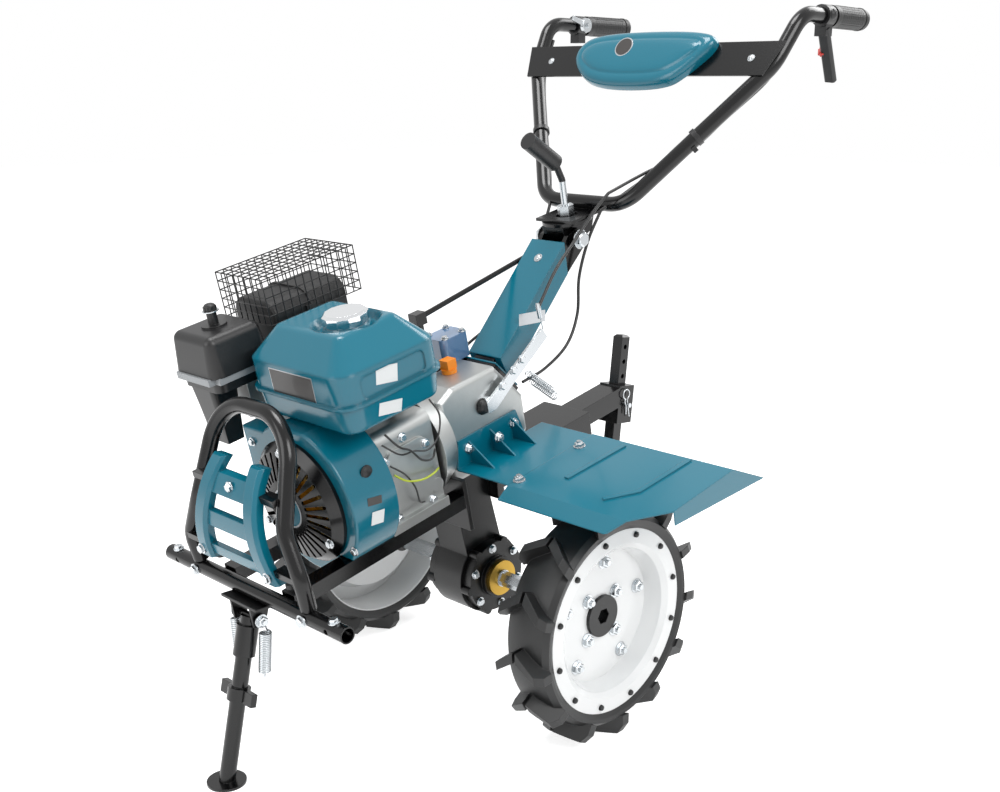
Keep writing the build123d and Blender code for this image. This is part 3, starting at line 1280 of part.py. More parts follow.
with BuildPart() as levers:
    for side in (1, -1):
        collar = Plane(
            origin=(BAR_END[0], side * BAR_END[1], BAR_END[2]),
            z_dir=(ALONG_GRIP[0], side * ALONG_GRIP[1], ALONG_GRIP[2]),
        )
        with BuildSketch(collar.offset(GRIP_LENGTH + 6)):
            Circle(BAR_DIAMETER / 2 + 5)
            Circle(BAR_DIAMETER / 2, mode=Mode.SUBTRACT)
        extrude(amount=26)
    LEVER_START = (BAR_TOP[0] - 66, BAR_TOP[1] - 2, BAR_TOP[2] - 36)
    with BuildSketch(Plane(origin=LEVER_START, x_dir=(0, 1, 0), z_dir=(-0.35, -0.1, -1))):
        RectangleRounded(20, 12, 4)
    extrude(amount=100)

save(handlebar.part, "handlebar")
save(console_plate.part, "console_plate")
save(console_cover.part, "console_cover")
save(both_sides(grip.part), "grips")
save(levers.part, "levers")
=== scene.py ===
"""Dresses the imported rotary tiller: finishes on every solid, small hardware, cables and the studio."""
import math
from collections import namedtuple

import bmesh
import bpy
from bpy.props import FloatProperty, FloatVectorProperty, IntProperty, PointerProperty
from mathutils import Matrix, Vector
from mathutils.bvhtree import BVHTree


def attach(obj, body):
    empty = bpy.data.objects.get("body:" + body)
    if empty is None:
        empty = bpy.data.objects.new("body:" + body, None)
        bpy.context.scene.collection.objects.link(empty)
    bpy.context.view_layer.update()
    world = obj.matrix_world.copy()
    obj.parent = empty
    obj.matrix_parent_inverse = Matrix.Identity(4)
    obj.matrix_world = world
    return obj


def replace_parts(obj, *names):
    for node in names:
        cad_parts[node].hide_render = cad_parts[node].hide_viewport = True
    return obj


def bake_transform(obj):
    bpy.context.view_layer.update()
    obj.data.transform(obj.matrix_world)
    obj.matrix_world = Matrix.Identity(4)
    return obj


bl_info = {
    "name": "Rotary tiller dressing",
    "version": (1, 0, 0),
    "blender": (4, 5, 0),
    "location": "View3D > Sidebar > Tiller",
    "description": "Finishes, hardware, cables and studio for the walk-behind rotary tiller",
    "category": "Object",
}

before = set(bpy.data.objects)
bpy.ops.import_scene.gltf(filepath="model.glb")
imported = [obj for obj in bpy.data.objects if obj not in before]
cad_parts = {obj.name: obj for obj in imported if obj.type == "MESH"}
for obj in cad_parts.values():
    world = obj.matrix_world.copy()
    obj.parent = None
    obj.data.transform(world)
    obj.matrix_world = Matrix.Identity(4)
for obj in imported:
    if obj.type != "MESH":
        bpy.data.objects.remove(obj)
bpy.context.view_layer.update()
MM = 0.001

# How the machine stands: nose down about its axle, which is this far forward of the origin
NOSE_DOWN = math.radians(12.1)
AXLE_X = 69.0
AXLE_Z = 200.0
TIP = (
    Matrix.Translation((AXLE_X * MM, 0, AXLE_Z * MM))
    @ Matrix.Rotation(NOSE_DOWN, 4, "Y")
    @ Matrix.Translation((0, 0, -AXLE_Z * MM))
)

# Places shared by several pieces, in the level machine's millimetres
CRANK_Z = 484.0
COLUMN_BASE = (-96.8, 529.3)
COLUMN_RISE = math.radians(36.87)
TILT_PIVOT = (-327.0, 702.0)
BAR_HIGH = (-600.0, 268.0, 935.0)
BAR_TOP = (-668.0, 283.0, 1004.0)
BAR_END = (-868.0, 270.0, 958.0)
# The middle of the air cleaner from above and of the front tube from the side, and the guard's two corners
AIR_CLEANER = (285.0, -168.0)
CROSS_TUBE = (430.6, 390.0)
GUARD_LOW = (38, -238, 716)
GUARD_HIGH = (222, -110, 792)
# How far out the bolts and nubs of a wheel are sought, and how far from a bar's end a lever's perch sits
RIM_OUT = 325.0
PERCH_ALONG = 129.0
# The console plate's face above the bars' middle, and the thickness of a washer
CONSOLE_FACE = 17.4
WASHER = 1.6

# What the lamps face, and each lamp's place and size in metres and its power in watts
MIDDLE = Vector((0.06, 0, 0.5))
LAMPS = {
    "key": ((0.4, 3.0, 2.8), 1.8, 70),
    "fill": ((3.4, -0.6, 1.8), 2.0, 38),
    "back": ((-2.6, 0.4, 2.6), 1.6, 45),
    "top": ((0.3, -0.4, 3.6), 1.4, 60),
}
# Where the camera stands in metres, the direction in which it stands from what it faces, and how far
# its view is shifted up, as a share of the sensor's width
CAMERA_AT = (1.4765, 1.4631, 1.0177)
CAMERA_AZIMUTH = math.radians(44.90)
CAMERA_ELEVATION = math.radians(17.43)
CAMERA_SHIFT = 0.074
# Half the floor's side in metres, its colour, and the glow that brings it to white for the camera
FLOOR_HALF = 14
FLOOR_SHADE = (0.86, 0.86, 0.86, 1)
FLOOR_GLOW = 0.72
WHITE = (1, 1, 1, 1)


def tipped(x, y, z):
    """A point of the level machine, in millimetres, as it stands parked."""
    return TIP @ Vector((x * MM, y * MM, z * MM))


def parked(x, y, z):
    """A point measured from the ground under the axle, in millimetres."""
    return Vector(((AXLE_X + x) * MM, y * MM, z * MM))


def tipped_way(x, y, z):
    """A direction of the level machine as it stands parked."""
    return (TIP.to_3x3() @ Vector((x, y, z))).normalized()


def on_column(along, above, y=0.0):
    """A point some way up the steering column and above its centreline."""
    x = COLUMN_BASE[0] - along * math.cos(COLUMN_RISE) + above * math.sin(COLUMN_RISE)
    z = COLUMN_BASE[1] + along * math.sin(COLUMN_RISE) + above * math.cos(COLUMN_RISE)
    return tipped(x, y, z)


# The console's face looks up and forward along the first way, and the second runs up its slope
CONSOLE_WAY = tipped_way(69, 0, 68)
CONSOLE_UP = tipped_way(-68, 0, 69)


def on_console(across, up, above=0.0):
    """A point on the console's plane, measured from its middle, in millimetres."""
    middle = tipped(BAR_HIGH[0], 0, BAR_HIGH[2])
    return middle + (Vector((0, across, 0)) + CONSOLE_UP * up + CONSOLE_WAY * (CONSOLE_FACE + above)) * MM


def bar_end(side):
    """The end of one side's bar, and the direction from there up its grip."""
    end = tipped(BAR_END[0], side * BAR_END[1], BAR_END[2])
    top = tipped(BAR_TOP[0], side * BAR_TOP[1], BAR_TOP[2])
    return end, (top - end).normalized()


# Finishes
def linear(hex_colour):
    """An sRGB hex value as linear red, green, blue and alpha."""
    parts = [int(hex_colour[i:i + 2], 16) / 255 for i in (1, 3, 5)]
    return tuple(p / 12.92 if p <= 0.04045 else ((p + 0.055) / 1.055) ** 2.4 for p in parts) + (1.0,)


def add_node(tree, kind, settings=None, **sockets):
    """Adds one node with its settings; each named socket takes a value or another node's output."""
    node = tree.nodes.new(kind)
    for name, value in (settings or {}).items():
        setattr(node, name, value)
    for name, value in sockets.items():
        socket = node.inputs[name.replace("_", " ")]
        if isinstance(value, bpy.types.NodeSocket):
            tree.links.new(value, socket)
        else:
            socket.default_value = value
    return node


# A finish's colour in sRGB, roughness, metallic, IOR, clear coat, grain in mm and its height in mm, how
# far the colour drifts, and the edge radius in mm that catches the light
Finish = namedtuple("Finish", "colour roughness metallic ior coat grain height drift edge")

# The finest grains, such as those of moulded rubber and spark-eroded ABS, are drawn several times
# coarser than the real ones, so that they show in a picture with about 1.5 mm to the pixel
FINISHES = {
    # Gloss enamel sprayed on pressed steel: deep colour, sharp highlights, slight orange peel
    "teal_enamel": Finish("#00697e", 0.20, 0.0, 1.5, 0.1, 7.0, 0.02, 0.04, 2.0),
    # The same enamel on the tank's deep pressing: its bends are softer and its highlights broader
    "tank_enamel": Finish("#00697e", 0.18, 0.0, 1.5, 0.1, 9.0, 0.02, 0.04, 7.0),
    # Powder coat baked on tube and plate: near black and glossy, with a fine ripple in its highlights
    "black_powder_coat": Finish("#030304", 0.20, 0.0, 1.45, 0.0, 3.0, 0.02, 0.10, 1.2),
    # Enamel brushed over sand castings: duller than powder coat, with the casting's grain below
    "black_casting": Finish("#060607", 0.34, 0.0, 1.45, 0.0, 2.2, 0.12, 0.15, 2.0),
    # White enamel sprayed on pressed pans: clean and bright, with soft reflections
    "white_enamel": Finish("#eceded", 0.25, 0.0, 1.52, 0.4, 8.0, 0.02, 0.02, 2.0),
    # Rubber moulded under pressure: black with a faint bloom and blurred highlights
    "tyre_rubber": Finish("#08090a", 0.46, 0.0, 1.52, 0.0, 1.6, 0.10, 0.18, 1.6),
    # Softer rubber moulded in small blocks: black, a little shiny where hands rub it
    "grip_rubber": Finish("#0a0a0b", 0.46, 0.0, 1.52, 0.0, 0.8, 0.04, 0.10, 0.6),
    # Aluminium die cast and bead blasted: pale grey, broad soft highlights, fine grain
    "die_cast_aluminium": Finish("#b3b5b4", 0.42, 1.0, 1.5, 0.0, 1.2, 0.06, 0.12, 1.8),
    # Zinc plated steel: blue-white and bright, with small spangles
    "zinc_plate": Finish("#c3c7ca", 0.24, 1.0, 1.5, 0.0, 2.0, 0.01, 0.10, 0.6),
    # Zinc passivated with yellow chromate: straw gold that drifts from place to place
    "yellow_chromate": Finish("#c9a24a", 0.30, 1.0, 1.5, 0.0, 4.0, 0.01, 0.25, 0.6),
    # Chromium plated and polished steel: a mirror with bright and dark bands
    "polished_chrome": Finish("#dcdee0", 0.07, 1.0, 1.5, 0.0, 20.0, 0.0, 0.0, 1.0),
    # ABS moulded in a spark-eroded tool: charcoal, matt and finely textured
    "textured_abs": Finish("#08080a", 0.40, 0.0, 1.53, 0.0, 0.9, 0.05, 0.08, 1.2),
    # Nylon, injection moulded: milky grey with soft highlights
    "grey_nylon": Finish("#9da1a4", 0.45, 0.0, 1.53, 0.0, 3.0, 0.01, 0.05, 1.2),
    # Polyethylene, injection moulded: waxy bright orange
    "orange_polyethylene": Finish("#f08a12", 0.38, 0.0, 1.51, 0.0, 3.0, 0.01, 0.05, 0.8),
    # Enamel under clear protective film: blue-grey, with a hard gloss that wrinkles
    "filmed_enamel": Finish("#5a7fa8", 0.16, 0.0, 1.5, 0.8, 14.0, 0.25, 0.25, 2.0),
    # Heat-proof paint sprayed on the exhaust: dull black and slightly gritty
    "exhaust_paint": Finish("#0f0f10", 0.50, 0.0, 1.5, 0.0, 1.4, 0.06, 0.15, 1.2),
    # Steel wire, welded and dipped in paint: dark, with a thin bright line along it
    "dipped_wire": Finish("#0e0e0f", 0.36, 0.0, 1.5, 0.1, 3.0, 0.01, 0.05, 0.5),
    # Aluminium sheet, brushed and anodised: even satin highlights
    "anodised_sheet": Finish("#b9bcbf", 0.34, 1.0, 1.5, 0.0, 0.6, 0.01, 0.05, 0.2),
    # Brown enamel on a stamped plate: dark and smooth, with a soft sheen
    "plate_enamel": Finish("#2e2a28", 0.35, 0.0, 1.5, 0.2, 6.0, 0.0, 0.02, 0.2),
    # Self-adhesive vinyl, calendered: matt, even white
    "white_vinyl": Finish("#e2e4e4", 0.40, 0.0, 1.46, 0.0, 6.0, 0.0, 0.02, 0.2),
    # Nylon, injection moulded: even red with a soft highlight
    "red_nylon": Finish("#c8352c", 0.36, 0.0, 1.53, 0.0, 3.0, 0.01, 0.05, 0.6),
    # PVC extruded over cable: smooth black with one long highlight
    "black_pvc": Finish("#0b0b0c", 0.36, 0.0, 1.53, 0.0, 4.0, 0.01, 0.05, 0.2),
    # PVC extruded over wire: yellow-green, slightly dull
    "yellow_green_pvc": Finish("#b9c832", 0.42, 0.0, 1.53, 0.0, 4.0, 0.01, 0.10, 0.2),
}
# The materials built so far, by the name of their finish
made = {}


def finish(name):
    """The material of one finish, built the first time that it is asked for."""
    if name in made:
        return made[name]
    made_of = FINISHES[name]
    settings = bpy.context.scene.tiller
    chosen = {
        "teal_enamel": settings.teal, "tank_enamel": settings.teal, "white_enamel": settings.pan,
        "black_powder_coat": settings.tube,
    }.get(name)
    colour = tuple(chosen) + (1.0,) if chosen else linear(made_of.colour)
    material = bpy.data.materials.new(name)
    material.use_nodes = True
    tree = material.node_tree
    shader = tree.nodes["Principled BSDF"]
    for socket, value in (
        ("Roughness", made_of.roughness), ("Metallic", made_of.metallic), ("IOR", made_of.ior),
        ("Coat Weight", made_of.coat), ("Coat Roughness", 0.06), ("Base Color", colour),
    ):
        shader.inputs[socket].default_value = value
    place = add_node(tree, "ShaderNodeTexCoord").outputs["Object"]
    normal = add_node(tree, "ShaderNodeBevel", {"samples": 4}, Radius=made_of.edge * MM).outputs["Normal"]
    if made_of.drift:
        # The colour drifts in clouds a dozen grains across
        clouds = 1000 / (made_of.grain * 12)
        cloud = add_node(tree, "ShaderNodeTexNoise", Vector=place, Scale=clouds, Detail=4.0)
        darker = tuple(c * (1 - made_of.drift) for c in colour[:3]) + (1.0,)
        tint = add_node(tree, "ShaderNodeMix", {"data_type": "RGBA"})
        tree.links.new(cloud.outputs["Fac"], tint.inputs["Factor"])
        # Sockets 6, 7 and output 2 are the mix's two colours and its result
        tint.inputs[6].default_value = colour
        tint.inputs[7].default_value = darker
        tree.links.new(tint.outputs[2], shader.inputs["Base Color"])
    if made_of.height:
        noise = add_node(tree, "ShaderNodeTexNoise", Vector=place, Scale=1000 / made_of.grain, Detail=2.0)
        normal = add_node(
            tree, "ShaderNodeBump", Strength=0.6, Distance=made_of.height * MM,
            Height=noise.outputs["Fac"], Normal=normal,
        ).outputs["Normal"]
    tree.links.new(normal, shader.inputs["Normal"])
    made[name] = material
    return material


# Shapes
def aim(at, way):
    """A matrix that stands a shape's Z axis along a direction at a point."""
    return Matrix.Translation(at) @ Vector(way).to_track_quat("Z", "Y").to_matrix().to_4x4()


def cone(bm, at, way, length, low, high=None, sides=24):
    """A capped cylinder or cone from a point along a direction, sizes in millimetres."""
    high = low if high is None else high
    matrix = aim(at, way) @ Matrix.Translation((0, 0, length * MM / 2))
    bmesh.ops.create_cone(
        bm, cap_ends=True, segments=sides, radius1=low * MM, radius2=high * MM, depth=length * MM,
        matrix=matrix,
    )


def block(bm, at, size, way=(0, 0, 1), turn=None):
    """A box centred on a point, sizes in millimetres, its Z axis along a direction."""
    matrix = aim(at, way) @ (turn or Matrix.Identity(4))
    matrix = matrix @ Matrix.Diagonal((size[0] * MM, size[1] * MM, size[2] * MM, 1))
    bmesh.ops.create_cube(bm, size=1, matrix=matrix)


def bolt(bm, at, way, across, height=None, stud=0.0):
    """A washer, a chamfered hex head and, if asked, the end of the thread."""
    way = Vector(way).normalized()
    height = across * 0.42 if height is None else height
    corner = across / math.sqrt(3)
    cone(bm, at, way, WASHER, across * 0.72)
    cone(bm, at + way * WASHER * MM, way, height * 0.8, corner, sides=6)
    cone(bm, at + way * (WASHER + height * 0.8) * MM, way, height * 0.2, corner, corner * 0.82, sides=6)
    if stud:
        cone(bm, at + way * (WASHER + height) * MM, way, stud, across * 0.28, sides=12)


def dome(bm, at, way, radius, height, sides=20, rings=5):
    """A low round button."""
    for ring in range(rings):
        low, high = (math.pi / 2 * (ring + i) / rings for i in (0, 1))
        cone(
            bm, at + Vector(way).normalized() * height * MM * math.sin(low), way,
            max(height * (math.sin(high) - math.sin(low)), 0.01),
            radius * math.cos(low), max(radius * math.cos(high), 0.01), sides,
        )


def built(bm, name, material, body, smooth=38):
    """Turns the collected shapes into one piece that rides on a body."""
    mesh = bpy.data.meshes.new(name)
    bm.normal_update()
    bm.to_mesh(mesh)
    bm.free()
    mesh.materials.append(finish(material))
    mesh.polygons.foreach_set("use_smooth", [True] * len(mesh.polygons))
    mesh.set_sharp_from_angle(angle=math.radians(smooth))
    piece = bpy.data.objects.new(name, mesh)
    bpy.context.scene.collection.objects.link(piece)
    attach(piece, body)
    return piece


def smooth_line(points, steps=10):
    """Points on one smooth curve through the given ones."""
    points = [Vector(p) for p in points]
    ends = [2 * points[0] - points[1]] + points + [2 * points[-1] - points[-2]]
    line = []
    for i in range(1, len(ends) - 2):
        a, b, c, d = ends[i - 1:i + 3]
        for step in range(steps):
            t = step / steps
            square, cube = 2 * a - 5 * b + 4 * c - d, 3 * b - a - 3 * c + d
            line.append(0.5 * ((2 * b) + (c - a) * t + square * t * t + cube * t ** 3))
    return line + [points[-1]]


def cable(name, line, radius, material, body=None, as_mesh=False):
    """A round cable or wire along a line, as a NURBS curve or as the mesh that a blend needs."""
    curve = bpy.data.curves.new(name, "CURVE")
    curve.dimensions = "3D"
    curve.bevel_depth = radius * MM
    curve.bevel_resolution = 3
    curve.use_fill_caps = True
    spline = curve.splines.new("NURBS")
    spline.points.add(len(line) - 1)
    for point, at in zip(spline.points, line):
        point.co = (*at, 1)
    spline.use_endpoint_u = True
    spline.order_u = 3
    spline.resolution_u = 2
    curve.materials.append(finish(material))
    piece = bpy.data.objects.new(name, curve)
    bpy.context.scene.collection.objects.link(piece)
    if as_mesh:
        bpy.context.view_layer.update()
        shaped = piece.evaluated_get(bpy.context.evaluated_depsgraph_get())
        mesh = bpy.data.meshes.new_from_object(shaped)
        bpy.data.objects.remove(piece)
        mesh.name = name
        piece = bpy.data.objects.new(name, mesh)
        bpy.context.scene.collection.objects.link(piece)
    if body:
        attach(piece, body)
    return piece


def coil_line(start, end, radius, turns, hook):
    """The line of a tension spring between two points, with straight ends bent to its middle."""
    start, end = Vector(start), Vector(end)
    along = (end - start).normalized()
    side = along.orthogonal().normalized()
    other = along.cross(side)
    length = (end - start).length - 2 * hook * MM
    line = [start]
    per_turn = 12
    count = turns * per_turn
    for i in range(count + 1):
        turn = 2 * math.pi * i / per_turn
        at = start + along * (hook * MM + length * i / count)
        line.append(at + (side * math.cos(turn) + other * math.sin(turn)) * radius * MM)
    return line + [end]


def pads(bm, at, way, radius, length, rows, columns, height):
    """Rows of little rubber blocks round a grip, each filling most of its share of the grip."""
    matrix = aim(at, way)
    filled = 0.72
    size = Matrix.Diagonal(
        (height * MM, 2 * math.pi * radius / columns * filled * MM, length / rows * filled * MM, 1)
    )
    for row in range(rows):
        shift = Matrix.Translation((radius * MM, 0, length * MM * (row + 0.5) / rows))
        for column in range(columns):
            turn = Matrix.Rotation(2 * math.pi * column / columns, 4, "Z")
            bmesh.ops.create_cube(bm, size=1, matrix=matrix @ turn @ shift @ size)


def wear(node, material, **by_face):
    """Gives a solid its finish, and others to the faces where a rule on their place holds."""
    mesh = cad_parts[node].data
    mesh.materials.clear()
    mesh.materials.append(finish(material))
    for name, rule in by_face.items():
        mesh.materials.append(finish(name))
        for polygon in mesh.polygons:
            if rule(TIP.inverted() @ polygon.center / MM):
                polygon.material_index = len(mesh.materials) - 1
    mesh.polygons.foreach_set("use_smooth", [True] * len(mesh.polygons))
    mesh.set_sharp_from_angle(angle=math.radians(32))


# The search tree of each solid that something sits on, made when it is first asked for
trees = {}


def seat(node, at, way, reach=120.0):
    """Where a line towards a point, against a direction, first meets a solid's outside."""
    if node not in trees:
        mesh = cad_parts[node].data
        corners = [v.co for v in mesh.vertices]
        trees[node] = BVHTree.FromPolygons(corners, [p.vertices for p in mesh.polygons])
    way = Vector(way).normalized()
    hit = trees[node].ray_cast(Vector(at) + way * reach * MM, -way, 2 * reach * MM)[0]
    if hit is None:
        raise RuntimeError(f"nothing of {node} lies under the place {tuple(at)}")
    return hit


def patch(name, node, at, way, size, material, lift):
    """A thin plate or sticker that lies flat on a solid where a line meets it."""
    hit = seat(node, at, way)
    normal = trees[node].find_nearest(hit)[1]
    normal = normal if normal.dot(Vector(way)) > 0 else -normal
    bm = bmesh.new()
    block(bm, hit + normal * lift * MM, size, normal)
    return built(bm, name, material, "root")


def round_wheel(side, radius, degrees):
    """A point at a radius and angle on the outer face of one wheel."""
    turn = math.radians(degrees)
    return parked(radius * math.cos(turn), side * RIM_OUT, AXLE_Z + radius * math.sin(turn))


# The solids that wear each finish
WORN = {
    "tyre_rubber": "tyre_left tyre_right",
    "white_enamel": "rim_left rim_right",
    "black_casting": "gearbox_case gearbox_cover_left gearbox_cover_right wheel_hubs stand_bracket",
    "die_cast_aluminium": "transmission_housing engine_block carburettor",
    "yellow_chromate": "axle_seals flywheel_fan",
    "zinc_plate": "axle stand_springs clutch_arm",
    "orange_polyethylene": "oil_plug",
    "filmed_enamel": "selector_cover",
    "teal_enamel": (
        "column_cover blower_housing bumper_grille fender_inner_left fender_inner_right"
        " fender_outer_left fender_outer_right console_cover"
    ),
    "tank_enamel": "fuel_tank",
    "polished_chrome": "fuel_cap",
    "black_powder_coat": (
        "column recoil_cover engine_rails cross_tube bumper_hoop hitch_bracket drawbar coulter stand_leg"
        " handle_head handlebar console_plate shift_rod"
    ),
    "textured_abs": "air_cleaner_cover air_cleaner_base gear_lever levers",
    "exhaust_paint": "muffler",
    "dipped_wire": "muffler_guard",
    "grip_rubber": "grips",
}


class TILLER_OT_finishes(bpy.types.Operator):
    """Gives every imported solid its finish"""

    bl_idname = "tiller.finishes"
    bl_label = "Finish the solids"

    def execute(self, context):
        left = set(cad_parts)
        for material, nodes in WORN.items():
            for node in nodes.split():
                wear(node, material)
                left.discard(node)
        if left:
            raise RuntimeError(f"no finish is given for {sorted(left)}")
        # Below its knob the gear lever is a plated rod
        wear("gear_lever", "textured_abs", zinc_plate=lambda p: p.z < 795)
        return {"FINISHED"}


class TILLER_OT_wheels(bpy.types.Operator):
    """Bolts the wheel pans together and sets the rubber nubs round their edges"""

    bl_idname = "tiller.wheels"
    bl_label = "Wheel hardware"

    def execute(self, context):
        settings = context.scene.tiller
        for name, side in (("left", 1), ("right", -1)):
            out = Vector((0, side, 0))
            bolts, nubs = bmesh.new(), bmesh.new()
            # Four bolts hold the hub and five the two pans
            for count, radius, first in ((4, 47, 45), (5, 92, 20)):
                for i in range(count):
                    at = round_wheel(side, radius, first + 360 / count * i)
                    bolt(bolts, seat(f"rim_{name}", at, out), out, 17, stud=4)
            built(bolts, f"rim_bolts_{name}", "zinc_plate", "wheels")
            for i in range(settings.nubs):
                at = seat(f"rim_{name}", round_wheel(side, 143, 15 + 360 * i / settings.nubs), out)
                cone(nubs, at, out, 3.0, 5.0, 4.6, 14)
                dome(nubs, at + out * 3.0 * MM, out, 4.6, 2.4, 14, 3)
            built(nubs, f"rim_nubs_{name}", "tyre_rubber", "wheels")
        return {"FINISHED"}


class TILLER_OT_drive(bpy.types.Operator):
    """Adds the hardware of the gearbox, the selector cover and the clutch arm"""

    bl_idname = "tiller.drive"
    bl_label = "Drive hardware"

    def execute(self, context):
        left, up = tipped_way(0, 1, 0), tipped_way(0, 0, 1)
        bolts = bmesh.new()
        for side, name in ((1, "left"), (-1, "right")):
            out = Vector((0, side, 0))
            for i in range(6):
                turn = math.radians(30 + 60 * i)
                at = tipped(54 * math.cos(turn), side * 60, AXLE_Z + 54 * math.sin(turn))
                bolt(bolts, seat(f"gearbox_cover_{name}", at, out), out, 11)
        for y in (-68, -28):
            for x in (-86, -46):
                bolt(bolts, seat("selector_cover", tipped(x, y, 592), up), up, 9)
        for x, z in ((-66, 536), (-96, 552), (-118, 563)):
            bolt(bolts, seat("clutch_arm", tipped(x, 62, z), left), left, 11)
        built(bolts, "drive_bolts", "zinc_plate", "root")
        boot = bmesh.new()
        at = tipped(-28, 60, 512)
        cone(boot, at, left, 6, 14, 11)
        cone(boot, at + left * 6 * MM, left, 4, 11, 8)
        built(boot, "clutch_seal", "tyre_rubber", "root")
        for name, start, end, coil, turns, wire in (
            ("clutch_return_spring", (-150, 52, 512), (-208, 52, 452), 7.0, 14, 0.9),
            ("clutch_snubber_spring", (-128, 66, 536), (-196, 60, 470), 5.5, 15, 0.8),
        ):
            line = coil_line(tipped(*start), tipped(*end), coil, turns, hook=8)
            cable(name, line, wire, "zinc_plate", "root")
        return {"FINISHED"}


class TILLER_OT_hitch(bpy.types.Operator):
    """Pins the depth bar in its sleeve and bolts the hitch on"""

    bl_idname = "tiller.hitch"
    bl_label = "Hitch pin"

    def execute(self, context):
        left, up, back = tipped_way(0, 1, 0), tipped_way(0, 0, 1), tipped_way(-1, 0, 0)
        pin = bmesh.new()
        start = tipped(-414, -34, 350)
        cone(pin, start, left, 70, 4.5)
        cone(pin, start - left * 4 * MM, left, 4, 9)
        built(pin, "hitch_pin", "zinc_plate", "root")
        # The spring clip: a straight leg through the pin, a round eye, and a bowed leg outside it
        hole = start + left * 64 * MM
        eye = [(9 * math.cos(t), 9 * math.sin(t) + 22) for t in (i * math.pi / 8 for i in range(-3, 12))]
        route = [(0, -24), (0, -6), (0, 8), *eye, (-7, 10), (-5, 0), (-8, -16)]
        line = [hole + (back * rearward + up * upward) * MM for rearward, upward in route]
        cable("hitch_clip", smooth_line(line, 3), 1.3, "zinc_plate", "root")
        bolts = bmesh.new()
        for x in (-70, -110, -200):
            for side in (1, -1):
                out = Vector((0, side, 0))
                bolt(bolts, seat("hitch_bracket", tipped(x, side * 60, 378), out), out, 14, stud=5)
        built(bolts, "hitch_bolts", "zinc_plate", "root")
        return {"FINISHED"}


# The earth wire and the thin black wires that hang between the cowl and the crankcase: each one's radius,
# finish and route
WIRES = (
    ("earth_wire", 1.7, "yellow_green_pvc", (
        (206, 100, 503), (190, 108, 488), (160, 106, 476), (132, 100, 472), (112, 90, 470),
    )),
    ("coil_wire", 1.8, "black_pvc", (
        (214, 108, 576), (200, 118, 552), (176, 112, 534), (152, 104, 506), (126, 96, 494), (110, 88, 502),
    )),
    ("stop_wire", 1.5, "black_pvc", (
        (220, 104, 560), (196, 112, 536), (166, 108, 528), (134, 100, 514), (104, 92, 520), (84, 82, 548),
        (84, 64, 572),
    )),
    ("oil_switch_wire", 1.5, "black_pvc", (
        (210, 100, 520), (192, 108, 500), (176, 106, 470), (168, 100, 440), (150, 88, 428),
    )),
)


